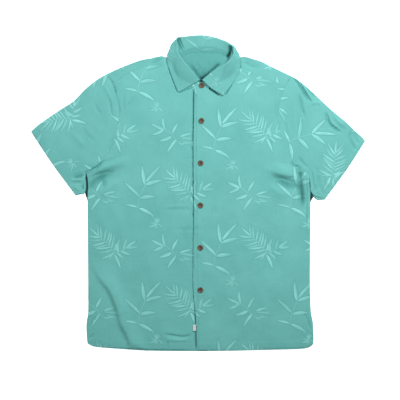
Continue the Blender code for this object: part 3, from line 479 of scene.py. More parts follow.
def refine(points, faces, pinned):
    """One round of smooth subdivision of a triangle sheet; the pinned points stay where they are."""
    edges, where, counts = edges_of(faces)
    opposite = np.concatenate([faces[:, 2], faces[:, 0], faces[:, 1]])
    far = np.zeros((len(edges), 3))
    np.add.at(far, where, points[opposite])
    ends = points[edges[:, 0]] + points[edges[:, 1]]
    middle = np.where((counts == 2)[:, None], 0.375 * ends + 0.125 * far, 0.5 * ends)
    total = np.zeros_like(points)
    np.add.at(total, edges[:, 0], points[edges[:, 1]])
    np.add.at(total, edges[:, 1], points[edges[:, 0]])
    degree = np.bincount(edges.ravel(), minlength=len(points))
    weight = np.where(degree > 3, 0.375 / np.maximum(degree, 1), 0.1875)[:, None]
    moved = (1 - degree[:, None] * weight) * points + weight * total
    rim = edges[counts == 1]
    beside = np.zeros_like(points)
    np.add.at(beside, rim[:, 0], points[rim[:, 1]])
    np.add.at(beside, rim[:, 1], points[rim[:, 0]])
    on_rim = np.unique(rim)
    moved[on_rim] = 0.75 * points[on_rim] + 0.125 * beside[on_rim]
    moved[pinned] = points[pinned]
    count = len(faces)
    a, b, c = faces.T
    ab, bc, ca = (len(points) + where[k * count:(k + 1) * count] for k in range(3))
    split = [np.stack(corner, axis=1) for corner in ((a, ab, ca), (ab, b, bc), (ca, bc, c), (ab, bc, ca))]
    return np.vstack([moved, middle]), np.vstack(split)


def near_fine_creases(plan, table):
    """Which plan points lie in a narrow crease."""
    found = np.zeros(len(plan), bool)
    for _, left, right, _, points in table:
        reach = max(left, right)
        if reach > FINE_CREASE:
            continue
        line = smooth(points, CREASE_STEPS // 2)
        near = near_line(plan, line, reach)
        if len(near):
            found[near] |= line_distance(plan[near], line)[0] < reach
    return found


def halve_edges(points, faces, table, lowest):
    """Halve the edges in narrow creases that lie higher than this, and cut their triangles to match."""
    edges, where, _ = edges_of(faces)
    middle = (points[edges[:, 0]] + points[edges[:, 1]]) / 2
    marked = near_fine_creases(middle[:, :2], table) & (middle[:, 2] > lowest)
    number = np.full(len(edges), -1)
    number[marked] = len(points) + np.arange(marked.sum())
    cut = number[where].reshape(3, len(faces)).T
    total = (cut >= 0).sum(axis=1)
    out = [faces[total == 0]]
    (a, b, c), (ab, bc, ca) = faces[total == 3].T, cut[total == 3].T
    out += [np.stack(three, axis=1) for three in ((a, ab, ca), (ab, b, bc), (ca, bc, c), (ab, bc, ca))]
    for k in range(3):
        one = (total == 1) & (cut[:, k] >= 0)
        a, b, c = (faces[one, (k + i) % 3] for i in range(3))
        new = cut[one, k]
        out += [np.stack((a, new, c), axis=1), np.stack((new, b, c), axis=1)]
        two = (total == 2) & (cut[:, k] < 0)
        a, b, c = (faces[two, (k + i) % 3] for i in range(3))
        bc, ca = cut[two, (k + 1) % 3], cut[two, (k + 2) % 3]
        out += [np.stack(three, axis=1) for three in ((a, b, bc), (a, bc, ca), (ca, bc, c))]
    return np.vstack([points, middle[marked]]), np.vstack(out)


def point_normals(points, faces):
    """Unit normal at each point."""
    normals = face_normals(points, faces)
    total = np.zeros_like(points)
    for k in range(3):
        np.add.at(total, faces[:, k], normals)
    return total / np.maximum(np.linalg.norm(total, axis=1), 1e-9)[:, None]


class Shell:
    """One refined cloth layer of a CAD node, in mm."""

    def __init__(self, node):
        layer, rounds, grain, self.flat, self.area = PIECES[node]
        self.node = node
        self.grain = grain
        points, faces = welded(node)
        points, faces = compact(points, pick_layer(points, faces, layer))
        pinned = corners(points, faces)
        for _ in range(rounds):
            points, faces = refine(points, faces, pinned)
        own = OWN_CREASES.get(node, [])
        if layer != "under":
            table = own if node == "collar" else CREASES + own
            points, faces = halve_edges(points, faces, table, LOWEST_TOP)
        if node == "yoke":
            points, faces = halve_edges(points, faces, own, 0)
        self.points, self.faces = points, faces
        self.loops = border_loops(faces)
        self.stitch = np.full(len(points), NO_STITCH)
        self.painted_shade = np.zeros(len(points))
        self.normals = point_normals(points, faces)
        self.up = self.normals[:, 2]

    def edge(self, start, end):
        """Points of the outline between two plan points, the shorter way, in the faces' turning sense."""
        best = None
        for loop in self.loops:
            plan = self.points[loop, :2]
            hidden = AVOID * (self.points[loop, 2] < ON_FLOOR)
            to_start = np.linalg.norm(plan - np.array(start), axis=1) + hidden
            to_end = np.linalg.norm(plan - np.array(end), axis=1) + hidden
            i, j = int(np.argmin(to_start)), int(np.argmin(to_end))
            miss = to_start[i] + to_end[j]
            if best is None or miss < best[0]:
                best = (miss, loop, i, j)
        _, loop, i, j = best
        ways = [np.roll(loop, -a)[:(b - a) % len(loop) + 1] for a, b in ((i, j), (j, i))]
        return min(ways, key=lambda way: lengths(self.points[way])[-1])

    def sew(self, line, inset, thicker):
        """Mark a row of stitches beside an edge, and thicken the cloth between the two."""
        near = self.up > SEWN_UP
        dist, _, share = line_distance(self.points[near][:, :2], line[:, :2])
        from_stitch = dist - inset
        old = self.stitch[near]
        self.stitch[near] = np.where(np.abs(from_stitch) < np.abs(old), from_stitch, old)
        if thicker:
            ends = ease(share * SEAM_FADE) * ease((1 - share) * SEAM_FADE)
            self.points[near, 2] += thicker * ends * ease((inset + HEM_EDGE / 2 - dist) / HEM_EDGE)

    def allow(self, start, end, width, drop):
        """Add the seam allowance along an edge: a strip that runs on under the neighbour's edge."""
        way = self.edge(start, end)
        line = self.points[way]
        run = np.gradient(line, axis=0)
        out = np.cross(run, self.normals[way])
        out /= np.maximum(np.linalg.norm(out, axis=1), 1e-9)[:, None]
        at = lengths(line)
        taper = ease(np.minimum(at, at[-1] - at) / (2 * width) + ALLOWANCE_START)[:, None]
        new = line + taper * (width * out - np.array([0, 0, drop])) - np.array([0, 0, ALLOWANCE_SINK])
        first = len(self.points)
        added = first + np.arange(len(way))
        self.faces = np.vstack([self.faces, np.stack([way[1:], way[:-1], added[:-1]], axis=1),
                                np.stack([way[1:], added[:-1], added[1:]], axis=1)])
        self.points = np.vstack([self.points, new])
        for name in ("stitch", "painted_shade", "up", "normals"):
            values = getattr(self, name)
            setattr(self, name, np.concatenate([values, values[way]]))


def calm(plan):
    """0 near a button and 1 away from it."""
    share = np.ones(len(plan))
    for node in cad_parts:
        if node.startswith("button") or node == "tab":
            low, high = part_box(node)
            centre = (np.array(low[:2]) + np.array(high[:2])) / 2 / MM
            far = np.linalg.norm(plan - centre, axis=1)
            share *= ease((far - BUTTON_CALM[0]) / (BUTTON_CALM[1] - BUTTON_CALM[0]))
    return share


def waves(plan, length, seed):
    """Smooth random height between about -1 and 1."""
    return np.array([noise.noise(Vector((x / length, y / length, seed))) for x, y in plan])


def lay(shell):
    """Give a shell its creases, the painted shade in their troughs, and its soft unevenness."""
    plan = shell.points[:, :2]
    height = shell.points[:, 2].copy()
    facing = ease((shell.up - UP_FROM) / UP_OVER)
    own = crease_rise(plan, OWN_CREASES.get(shell.node, []))
    if shell.node == "collar":
        upper = facing * (height > COLLAR_LOWEST)
        shell.points[:, 2] = np.maximum(height + upper * own, np.minimum(height, COLLAR_LOWEST))
        shell.painted_shade = np.clip(-own * upper / PAINTED_SHADE_DEPTH, 0, PAINTED_SHADE_MOST)
        return
    upper = facing * (height > ON_FLOOR)
    rise = crease_rise(plan, CREASES)
    # the yoke inside the neck takes its creases' painted shade, though its cloth can't sink there
    if shell.node == "yoke":
        facing = np.abs(shell.up)
    shell.painted_shade = np.clip(-(rise * upper + own * facing) / PAINTED_SHADE_DEPTH, 0, PAINTED_SHADE_MOST)
    for high, length, seed in WAVES:
        rise += high * waves(plan, length, seed)
    new = height + upper * (calm(plan) * rise + own)
    shell.points[:, 2] = np.maximum(new, np.minimum(height, LOWEST_TOP))
    under = (shell.up < DOWN) & (height < UNDER_TOP)
    shell.points[under, 2] += crease_rise(plan[under], UNDER_CREASES)


def close_gaps(shell):
    """Draw the cloth together in plan where the table says, as at the armpits; the back drawn under a gap
    gets painted shade.
    """
    for node, middle, half, move in PULLS:
        if node == shell.node:
            share = np.clip(1 - off_middle(shell.points, middle, half), 0, 1) ** 2
            shell.points[:, :2] += share[:, None] * move
            # the back that shows through a gap gets painted shade, darkest in the gap's middle
            if node == "back":
                dark = PAINTED_SHADE_MOST * np.clip(GAP_SPREAD * share, 0, 1)
                shell.painted_shade = np.maximum(shell.painted_shade, dark)


def above_floor(shell, thickness):
    """Raise the points whose inner side would reach under the floor."""
    normals = face_normals(shell.points, shell.faces)
    facing = normals[:, 2] / np.maximum(np.linalg.norm(normals, axis=1), 1e-9)
    most = point_normals(shell.points, shell.faces)[:, 2].copy()
    for k in range(3):
        np.maximum.at(most, shell.faces[:, k], facing)
    shell.points[:, 2] += np.maximum(0, thickness * most - shell.points[:, 2])


# ---------------------------------------------------------------- the leaf weave

HALF_REPEAT = (190.0, 145.0)  # the repeat is a half drop: every other place of this grid has the motifs
LEAF_RISE = 0.42             # outline of a leaf: widest at about a third of its length
LEAF_FALL = 0.75
STEM_AT = LEAF_RISE / (LEAF_RISE + LEAF_FALL)
LEAF_SCALE = 1 / (STEM_AT ** LEAF_RISE * (1 - STEM_AT) ** LEAF_FALL)
LEAF_FULLNESS = 1.28         # the woven leaf is wider than its middle line and rib by this
STEM_WIDTH = 0.9
RIM_SHADE_REACH = 0.9                   # half-widths over which the ground gets painted shade beside a leaf
END_BLUR = 14.0              # how fast that ends past a leaf's tip
TILE = 16.0                  # faces are sorted into squares of this size
LEAF_MARGIN = 4              # faces this near a leaf's box are tested
STEM_PAST = 0.15             # share of its length by which a stem's run goes on at both ends
FAR_OFF = 9.0                # a place that is surely outside a leaf
PAST_TIP = 3                 # weight of a place beyond a leaf's ends
MOTIFS_BEFORE, MOTIFS_AFTER = 3, 2    # places of the grid over which motifs can reach the cloth
FROND_WOBBLE = 8             # degrees by which a frond's leaflets differ


def leaf(x, y, angle, length, width, bend=0.0, tone=1.0):
    """One leaf: where it starts, its direction in degrees, its size, how it bends and how bright it is."""
    return ("leaf", x, y, angle, length, LEAF_FULLNESS * width / 2, bend, tone)


def stem(points, tone=0.75):
    """The straight runs of a curved stem."""
    line = smooth(points, 4)
    out = []
    for (ax, ay), (bx, by) in zip(line, line[1:]):
        angle = math.degrees(math.atan2(by - ay, bx - ax))
        out.append(("stem", ax, ay, angle, math.hypot(bx - ax, by - ay), STEM_WIDTH, 0.0, tone))
    return out


def frond(x, y, angle, length, pairs, sizes, width, curl, spread, tone=1.0):
    """A palm frond: a curved midrib with leaflets on both sides that grow and close up towards its tip."""
    out = []
    spots = [(x, y)]
    steps = pairs * 2
    for i in range(steps):
        turn = math.radians(angle + curl * i / steps)
        px, py = spots[-1]
        spots.append((px + length / steps * math.cos(turn), py + length / steps * math.sin(turn)))
    out += stem(spots[::2], tone * 0.7)
    for i in range(1, steps + 1):
        share = i / steps
        wide = spread[0] + (spread[1] - spread[0]) * share
        size = sizes[0] + (sizes[1] - sizes[0]) * share
        side = 1 if i % 2 else -1
        wobble = FROND_WOBBLE * math.sin(2.4 * i + x)
        bright = tone * (0.78 + 0.22 * math.sin(1.7 * i + y))
        out.append(leaf(*spots[i], angle + curl * share + side * wide + wobble,
                        size * (1 + 0.12 * math.sin(3.1 * i)), width, side * 0.4, bright))
    out.append(leaf(*spots[-1], angle + curl, sizes[1], width, 0.2, tone))
    return out


def palm():
    """A feathery frond with a short one beside it and leaves that hang below."""
    out = frond(30, -20, 130, 62, 7, (41, 35), 3.9, 8, (70, 42))
    out += frond(30, -20, 27, 30, 2, (22, 32), 5.2, 8, (64, 36), 0.95)
    out += [leaf(26, -22, -67, 40, 5.6, 0.4), leaf(33, -17, -41, 25, 4.6, -0.3, 0.85),
            leaf(22, -17, -122, 24, 4.2, 0.3, 0.55), leaf(33, -15, 103, 24, 4.0, 0.2, 0.8)]
    return out


def bamboo():
    """A jointed twig with long single leaves."""
    out = stem([(-21, -79), (-16, -54), (-9, -38), (-2, -22)], 0.9)
    out += [leaf(-3, -21, 98, 50, 6.6, 0.2), leaf(1, -15, 48, 57, 6.2, 0.3),
            leaf(-1, -23, 15, 44, 7.2, 0.4, 0.8), leaf(-16, -52, 137, 54, 5.6, -0.3, 0.95),
            leaf(-14, -56, 5, 40, 7.2, 0.4, 0.8)]
    return out


def spray():
    """Leaves in twos and threes along a short twig, with a faint frond beside them."""
    out = stem([(-2, -11), (9, -18), (18, -25), (28, -38)], 0.7)
    out += [leaf(-3, -11, 155, 37, 5.4, 0.3), leaf(1, -12, 98, 35, 5.0, 0.8, 0.95),
            leaf(-3, -12, 204, 33, 5.6, 0.3, 0.85), leaf(19, -21, 60, 33, 5.4, 0.3),
            leaf(17, -29, 200, 35, 6.4, 0.3, 0.9), leaf(28, -37, 236, 41, 5.6, -0.4),
            leaf(38, -30, 15, 32, 4.8, 0.5, 0.9)]
    out += [leaf(40, -33, -8, 42, 4.2, 0.5, 0.5), leaf(38, -48, 3, 30, 3.6, 0.4, 0.5),
            leaf(33, -44, -33, 20, 4.2, 0.3, 0.4), leaf(44, -40, -22, 26, 3.8, 0.3, 0.4)]
    return out


def droop():
    """A branch that hangs over to the side and ends in a little fan."""
    out = stem([(0, 0), (20, -8), (40, -25), (52, -42)], 0.7)
    out += [leaf(-1, 1, 170, 33, 4.6, -0.5, 0.95), leaf(4, -2, -29, 44, 6.8, 0.4)]
    for angle, size, tone in ((202, 23, 0.85), (172, 20, 0.5), (128, 13, 0.8), (98, 15, 0.7), (72, 12, 0.5),
                              (-48, 15, 0.5), (236, 14, 0.7)):
        turn = math.radians(angle)
        out.append(leaf(51 + 3 * math.cos(turn), -40 + 3 * math.sin(turn), angle, size, 3.6, 0.3, tone))
    return out


# Motifs of one repeat and where they are.
REPEAT_MOTIFS = [(palm, 145, 158), (bamboo, 60, 188), (spray, -83, 170), (droop, 39, 109)]


def motif_rows():
    """All leaves and stems of one repeat."""
    rows = []
    for make, x, y in REPEAT_MOTIFS:
        for kind, leaf_x, leaf_y, *rest in make():
            rows.append((kind, x + leaf_x, y + leaf_y, *rest))
    return rows


# Where each piece was cut: how far its own middle lies from the body's on the cloth.
CUT_SHIFT = {"sleeve_right": (-159, 66), "sleeve_left": (-1, 141), "collar": (40, 60), "yoke": (-95, 40)}


def fabric_place(shell):
    """Where each point of a shell is on the cloth it was cut from."""
    x, y, z = shell.points.T
    shift = CUT_SHIFT.get(shell.node, (0, 0))
    if shell.node == "collar":
        return np.stack([x + shift[0], y + 2 * z + shift[1]], axis=1)
    turn = math.radians(shell.grain)
    c, s = math.cos(turn), math.sin(turn)
    return np.stack([c * x + s * y + shift[0], -s * x + c * y + shift[1]], axis=1)


def weave_leaves(shell):
    """The place of each face's corners in the nearest leaf, in the next one and in the nearest stem."""
    place = fabric_place(shell)
    corners_at = place[shell.faces]
    middle = corners_at.mean(axis=1)
    tests = np.concatenate([corners_at, middle[:, None]], axis=1)
    count = len(shell.faces)
    best = {name: np.full(count, -RIM_SHADE_REACH) for name in ("leaf_a", "leaf_b", "stem")}
    held = {name: np.zeros((count, 3, 3)) for name in best}
    for values in held.values():
        values[:, :, 1] = FAR_OFF
    bins = {}
    tiles = np.floor(middle / TILE).astype(int)
    order = np.lexsort((tiles[:, 1], tiles[:, 0]))
    keys, starts = np.unique(tiles[order], axis=0, return_index=True)
    for key, part in zip(keys, np.split(order, starts[1:])):
        bins[tuple(key)] = part
    first = np.floor(middle.min(axis=0) / HALF_REPEAT).astype(int) - MOTIFS_BEFORE
    last = np.ceil(middle.max(axis=0) / HALF_REPEAT).astype(int) + MOTIFS_AFTER
    for i in range(first[0], last[0]):
        for j in range(first[1], last[1]):
            if (i + j) % 2 == 0:
                for row in motif_rows():
                    add_leaf(row, np.array([i, j]) * HALF_REPEAT, bins, tests, best, held)
    return held


def add_leaf(row, shift, bins, tests, best, held):
    """Enter one leaf or stem run where it is nearer than what a face already has."""
    kind, x, y, angle, length, half, bend, tone = row
    start = shift + np.array([x, y])
    along = np.array([math.cos(math.radians(angle)), math.sin(math.radians(angle))])
    ends = np.stack([start, start + along * length])
    low = np.floor((ends.min(axis=0) - half - LEAF_MARGIN) / TILE).astype(int)
    high = np.floor((ends.max(axis=0) + half + LEAF_MARGIN) / TILE).astype(int)
    tiles = [tuple(low + step) for step in np.ndindex(*(high - low + 1))]
    parts = [bins[tile] for tile in tiles if tile in bins]
    if not parts:
        return
    near = np.concatenate(parts)
    rel = tests[near] - start
    u = rel @ along / length
    v = (along[0] * rel[:, :, 1] - along[1] * rel[:, :, 0]) / half
    if kind == "stem":
        inside = np.where((u > -STEM_PAST) & (u < 1 + STEM_PAST), 1.0, -FAR_OFF) - np.abs(v)
        u = np.full_like(u, STEM_AT)
    else:
        clipped = np.clip(u, 0, 1)
        v = v - bend * 4 * clipped * (1 - clipped)
        outline = LEAF_SCALE * clipped ** LEAF_RISE * (1 - clipped) ** LEAF_FALL
        inside = outline - np.abs(v) - PAST_TIP * np.abs(u - clipped)
    score = inside.max(axis=1)
    value = np.stack([u[:, :3], v[:, :3], np.full((len(near), 3), tone)], axis=2)

    def enter(name, faces, scores, values):
        best[name][faces] = scores
        held[name][faces] = values

    first = "stem" if kind == "stem" else "leaf_a"
    wins = score > best[first][near]
    won = near[wins]
    if kind == "leaf":
        enter("leaf_b", won, best["leaf_a"][won], held["leaf_a"][won])
        second = ~wins & (score > best["leaf_b"][near])
        enter("leaf_b", near[second], score[second], value[second])
    enter(first, won, score[wins], value[wins])


# ---------------------------------------------------------------- materials

def new_material(name):
    """A new material, its nodes and its shader."""
    material = bpy.data.materials.new(name)
    material.use_nodes = True
    return material, Nodes(material.node_tree), material.node_tree.nodes["Principled BSDF"]


class Nodes:
    """Short forms for adding shader nodes. A plain number or colour is set, and an output is linked."""

    def __init__(self, tree):
        self.tree = tree

    def add(self, kind, *values, **settings):
        node = self.tree.nodes.new(kind)
        for key, value in settings.items():
            setattr(node, key, value)
        for value, socket in zip(values, node.inputs):
            self.feed(value, socket)
        return node

    def feed(self, value, socket):
        if isinstance(value, (int, float)):
            socket.default_value = value
        elif isinstance(value, tuple):
            socket.default_value = (*value, 1)
        else:
            self.tree.links.new(value, socket)

    def math(self, operation, *values):
        return self.add("ShaderNodeMath", *values, operation=operation).outputs[0]

    def times(self, *values):
        """The product of all the values."""
        return functools.reduce(lambda a, b: self.math("MULTIPLY", a, b), values)

    def most(self, *values):
        """The largest of the values."""
        return functools.reduce(lambda a, b: self.math("MAXIMUM", a, b), values)

    def attribute(self, name):
        return self.add("ShaderNodeAttribute", attribute_name=name)

    def split(self, vector):
        return self.add("ShaderNodeSeparateXYZ", vector).outputs

    def ramp(self, value, low, high, out_low=0.0, out_high=1.0):
        node = self.add("ShaderNodeMapRange", value, low, high, out_low, out_high,
                        interpolation_type="SMOOTHSTEP")
        return node.outputs["Result"]

    def mix(self, factor, a, b):
        node = self.add("ShaderNodeMix", data_type="RGBA")
        for value, socket in zip((factor, a, b), (node.inputs[0], node.inputs[6], node.inputs[7])):
            self.feed(value, socket)
        return node.outputs[2]

    def noise(self, vector, scale, detail, rough, stretch=None):
        if stretch:
            mapping = self.add("ShaderNodeMapping", vector)
            mapping.inputs["Scale"].default_value = stretch
            vector = mapping.outputs[0]
        node = self.add("ShaderNodeTexNoise")
        for name, value in (("Vector", vector), ("Scale", scale), ("Detail", detail), ("Roughness", rough)):
            self.feed(value, node.inputs[name])
        return node.outputs["Fac"]

    def bump(self, height, strength, distance, normal=None):
        node = self.add("ShaderNodeBump")
        for name, value in (("Strength", strength), ("Distance", distance), ("Height", height)):
            self.feed(value, node.inputs[name])
        if normal:
            self.feed(normal, node.inputs["Normal"])
        return node.outputs[0]


GROUND = (0.180, 0.562, 0.526)
GROUND_DEEP = (0.138, 0.476, 0.446)
LEAF = (0.335, 0.830, 0.785)
SHADE = (0.060, 0.300, 0.272)        # painted shade at the bottom of a crease
GAP_SHADE = (0.002, 0.034, 0.036)    # and painted shade, near black, in a gap that one can't see into
WRONG_SIDE_IN_SHADE = (0.070, 0.315, 0.300)   # the duller back of the cloth inside the neck, darkened further by painted shade
THREAD_TEAL, THREAD_DARK = (0.20, 0.58, 0.53), (0.10, 0.075, 0.055)
NUT_DARK, NUT_LIGHT, NUT_FLECK = (0.055, 0.026, 0.015), (0.205, 0.120, 0.072), (0.028, 0.015, 0.010)
TAPE_GREY, TAPE_WHITE = (0.64, 0.66, 0.65), (0.80, 0.80, 0.78)
RIM_SHADE_SHARE, RIM_SHADE_DEPTH = 0.45, 0.8   # how much of the painted shade beside a leaf shows, and how dark it is
WRONG_SIDE_SHADE_SHARE = 0.85
GROOVE_SHARE = 0.12      # how much darker the cloth is along its stitches
STEM_SHARE = 0.8         # brightness of the stems
THREAD_PITCH = 0.55      # mm between the threads of the weave
SPECULAR, SHEEN, SHEEN_ROUGHNESS = 0.2, 0.05, 0.45

# Smooth ramps: from and to, and where it isn't 0 to 1 the values there.
LEAF_EDGE = (0.0, 0.22)
LEAF_RIB = (0.05, 0.2, 0.6, 1.0)         # a leaf is duller along its middle
LEAF_HALF = (-0.15, 0.15, 0.68, 1.0)     # and on one half
LEAF_RUN = (0.0, 1.0, 1.08, 0.8)         # and brighter at its foot
RIM_SHADE_OUT = (-RIM_SHADE_REACH, -0.02)
RIM_SHADE_IN = (0.0, 0.1, 1.0, 0.0)
TINT = (0.3, 0.7)
WORN_TO = (0.25, 0.6, 0.7, 1.0)
UNEVEN_TO = (0.35, 0.62, 0.62, 1.0)
GROOVE = (0.0, 1.2, 1.0, 0.0)
CREASE_TO = (0.0, 1.4, 0.0, 0.8)         # share of the painted shade in a crease
GAP_TO = (0.9, PAINTED_SHADE_MOST, 0.0, 0.97)   # and of the near black painted shade in a gap
CLOTH_ROUGH = (0.0, 1.0, 0.64, 0.44)     # leaves are glossier than the ground
TWIST_TO = (0.35, 0.65)
GRAIN_TO = (0.3, 0.68)
FLECKS_TO = (0.55, 0.72, 0.0, 0.7)
NUT_ROUGH = (0.2, 0.8, 0.32, 0.5)

# Noise: scale, detail and roughness, and how it is stretched.
SLUBS = (1.0, 2.0, 0.6, (0.9, 0.03, 1.0))
WEFTS = (1.0, 2.0, 0.6, (0.03, 0.9, 1.0))
PATCHES = (0.012, 3.0, 0.55)
WORN = (0.35, 3.0, 0.6)
UNEVEN = (0.035, 2.0, 0.5)
CRUMPLE = (0.11, 3.0, 0.55)
TWIST = (1800.0, 2.0, 0.6)
GRAIN = (420.0, 5.0, 0.62, (1.0, 0.35, 1.0))
FLECKS = (1500.0, 3.0, 0.7, (1.0, 0.2, 1.0))
RIBS = (2600.0, 2.0, 0.5, (1.0, 0.15, 1.0))

# Bump: strength, and height in metres.
WEAVE_BUMP = (0.35, 0.00006)
SLUB_BUMP = (0.4, 0.0002)
CRUMPLE_BUMP = (0.4, 0.001)
LEAF_BUMP = (0.9, 0.0003)
GROOVE_BUMP = (0.5, -0.0002)
FINE_BUMP = (0.4, 0.0001)
FLECK_BUMP = (0.3, 0.0002)


def leaf_mask(n, name):
    """Brightness of the leaf that is here, its shape, and the painted shade beside it, where its woven relief
    would shade the ground.
    """
    u, v, tone = n.split(n.attribute(name).outputs["Vector"])
    rise = n.math("POWER", n.most(u, 0.0), LEAF_RISE)
    fall = n.math("POWER", n.most(n.math("SUBTRACT", 1.0, u), 0.0), LEAF_FALL)
    outline = n.times(rise, fall, LEAF_SCALE)
    off = n.math("ABSOLUTE", v)
    past = n.times(n.most(n.times(u, -1.0), n.math("SUBTRACT", u, 1.0), 0.0), END_BLUR)
    inside = n.math("SUBTRACT", n.math("SUBTRACT", outline, off), past)
    shape = n.ramp(inside, *LEAF_EDGE)
    light = n.times(n.ramp(off, *LEAF_RIB), n.ramp(v, *LEAF_HALF), n.ramp(u, *LEAF_RUN), tone)
    rim_shade = n.times(n.ramp(inside, *RIM_SHADE_OUT), n.ramp(inside, *RIM_SHADE_IN), tone)
    return n.times(shape, light), shape, rim_shade


def shaded(colour, depth):
    """The colour, this many times as bright."""
    return tuple(c * depth for c in colour)


def cloth_material(name, leaves, depth):
    """Teal cloth with a fine weave and paler satin leaves, and painted shade in its creases, its gaps, its
    neck and beside its leaves.

    leaves is how strongly they show, and depth how bright the cloth is.
    """
    material, n, shader = new_material(name)
    fabric = n.attribute("fabric").outputs["Vector"]
    first, first_shape, first_rim_shade = leaf_mask(n, "leaf_a")
    second, second_shape, _ = leaf_mask(n, "leaf_b")
    twig, twig_shape, _ = leaf_mask(n, "stem")
    glow = n.most(first, second, n.times(twig, STEM_SHARE))
    shape = n.most(first_shape, second_shape, twig_shape)
    streaks = n.times(n.math("ADD", n.noise(fabric, *SLUBS), n.noise(fabric, *WEFTS)), 0.5)
    mottle = n.math("ADD", n.times(streaks, 0.5), n.times(n.noise(fabric, *PATCHES), 0.5))
    ground = n.mix(n.ramp(mottle, *TINT), shaded(GROUND_DEEP, depth), shaded(GROUND, depth))
    # painted shade on the ground beside each leaf, where the woven relief would shade it
    rim_shade = n.times(first_rim_shade, n.math("SUBTRACT", 1.0, shape), RIM_SHADE_SHARE * leaves)
    ground = n.mix(rim_shade, ground, shaded(GROUND_DEEP, depth * RIM_SHADE_DEPTH))
    worn = n.ramp(n.noise(fabric, *WORN), *WORN_TO)
    uneven = n.ramp(n.noise(fabric, *UNEVEN), *UNEVEN_TO)
    colour = n.mix(n.times(glow, leaves, worn, uneven), ground, shaded(LEAF, depth))
    # the duller back of the cloth inside the neck, with painted shade deeper in
    wrong_and_shade = n.attribute("wrong_side_and_shade").outputs["Fac"]
    colour = n.mix(n.times(wrong_and_shade, WRONG_SIDE_SHADE_SHARE), colour, WRONG_SIDE_IN_SHADE)
    groove = n.ramp(n.math("ABSOLUTE", n.attribute("stitch").outputs["Fac"]), *GROOVE)
    colour = n.mix(n.times(groove, GROOVE_SHARE), colour, GROUND_DEEP)
    # painted shade by the troughs' depth: teal in creases, near black in gaps
    painted_shade = n.attribute("painted_shade").outputs["Fac"]
    colour = n.mix(n.ramp(painted_shade, *CREASE_TO), colour, SHADE)
    colour = n.mix(n.ramp(painted_shade, *GAP_TO), colour, GAP_SHADE)
    n.feed(colour, shader.inputs["Base Color"])
    n.feed(n.ramp(glow, *CLOTH_ROUGH), shader.inputs["Roughness"])
    shader.inputs["Specular IOR Level"].default_value = SPECULAR
    shader.inputs["Sheen Weight"].default_value = SHEEN
    shader.inputs["Sheen Roughness"].default_value = SHEEN_ROUGHNESS
    x, y, _ = n.split(fabric)
    turns = 2 * math.pi / THREAD_PITCH
    weave = n.times(n.math("SINE", n.times(x, turns)), n.math("SINE", n.times(y, turns)))
    normal = n.bump(weave, *WEAVE_BUMP)
    normal = n.bump(streaks, *SLUB_BUMP, normal)
    normal = n.bump(n.noise(fabric, *CRUMPLE), *CRUMPLE_BUMP, normal)
    normal = n.bump(shape, *LEAF_BUMP, normal)
    normal = n.bump(groove, *GROOVE_BUMP, normal)
    n.feed(normal, shader.inputs["Normal"])
    return material


def small_material(name, noise, ramp, colours, bump, roughness):
    """A material whose colour and bump follow one noise over the object."""
    material, n, shader = new_material(name)
    value = n.noise(n.add("ShaderNodeTexCoord").outputs["Object"], *noise)
    n.feed(n.mix(n.ramp(value, *ramp) if ramp else value, *colours), shader.inputs["Base Color"])
    n.feed(n.bump(value, *bump), shader.inputs["Normal"])
    shader.inputs["Roughness"].default_value = roughness
    return material


def thread_material(name, colour):
    """Twisted sewing thread."""
    return small_material(name, TWIST, TWIST_TO, (shaded(colour, 0.75), colour), FINE_BUMP, 0.55)


def tape_material():
    """Plain white woven tape."""
    return small_material("tape_white", RIBS, None, (TAPE_GREY, TAPE_WHITE), FINE_BUMP, 0.7)


def wood_material():
    """Dark mottled nutshell, polished."""
    material, n, shader = new_material("button_wood")
    place = n.add("ShaderNodeTexCoord").outputs["Object"]
    grain = n.noise(place, *GRAIN)
    flecks = n.noise(place, *FLECKS)
    colour = n.mix(n.ramp(grain, *GRAIN_TO), NUT_DARK, NUT_LIGHT)
    colour = n.mix(n.ramp(flecks, *FLECKS_TO), colour, NUT_FLECK)
    n.feed(colour, shader.inputs["Base Color"])
    n.feed(n.ramp(grain, *NUT_ROUGH), shader.inputs["Roughness"])
    n.feed(n.bump(flecks, *FLECK_BUMP), shader.inputs["Normal"])
    return material


# ---------------------------------------------------------------- objects

def build_mesh(name, points, faces, material):
    """A smooth-shaded object of a mesh in mm."""
    mesh = bpy.data.meshes.new(name)
    mesh.from_pydata((np.asarray(points) * MM).tolist(), [], [list(face) for face in faces])
    mesh.shade_smooth()
    mesh.materials.append(material)
    obj = bpy.data.objects.new(name, mesh)
    bpy.context.scene.collection.objects.link(obj)
    return obj


def cloth_object(shell, material, thickness):
    """The shell as a cloth of real thickness, with what its material reads."""
    above_floor(shell, thickness)
    obj = build_mesh(shell.node + "_cloth", shell.points, shell.faces, material)
    mesh = obj.data
    for name, values in weave_leaves(shell).items():
        layer = mesh.attributes.new(name, "FLOAT_VECTOR", "CORNER")
        layer.data.foreach_set("vector", values.astype(np.float32).ravel())
    place = np.column_stack([fabric_place(shell), np.zeros(len(shell.points))])
    layer = mesh.attributes.new("fabric", "FLOAT_VECTOR", "POINT")
    layer.data.foreach_set("vector", place.astype(np.float32).ravel())
    shares = {"stitch": shell.stitch, "painted_shade": shell.painted_shade, "wrong_side_and_shade": wrong_side_and_shade(shell)}
    for name, values in shares.items():
        layer = mesh.attributes.new(name, "FLOAT", "POINT")
        layer.data.foreach_set("value", values.astype(np.float32))
    wall = obj.modifiers.new("Thickness", "SOLIDIFY")
    wall.thickness = thickness * MM
    wall.offset = -1
    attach(obj, "root")
    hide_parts(shell.node)


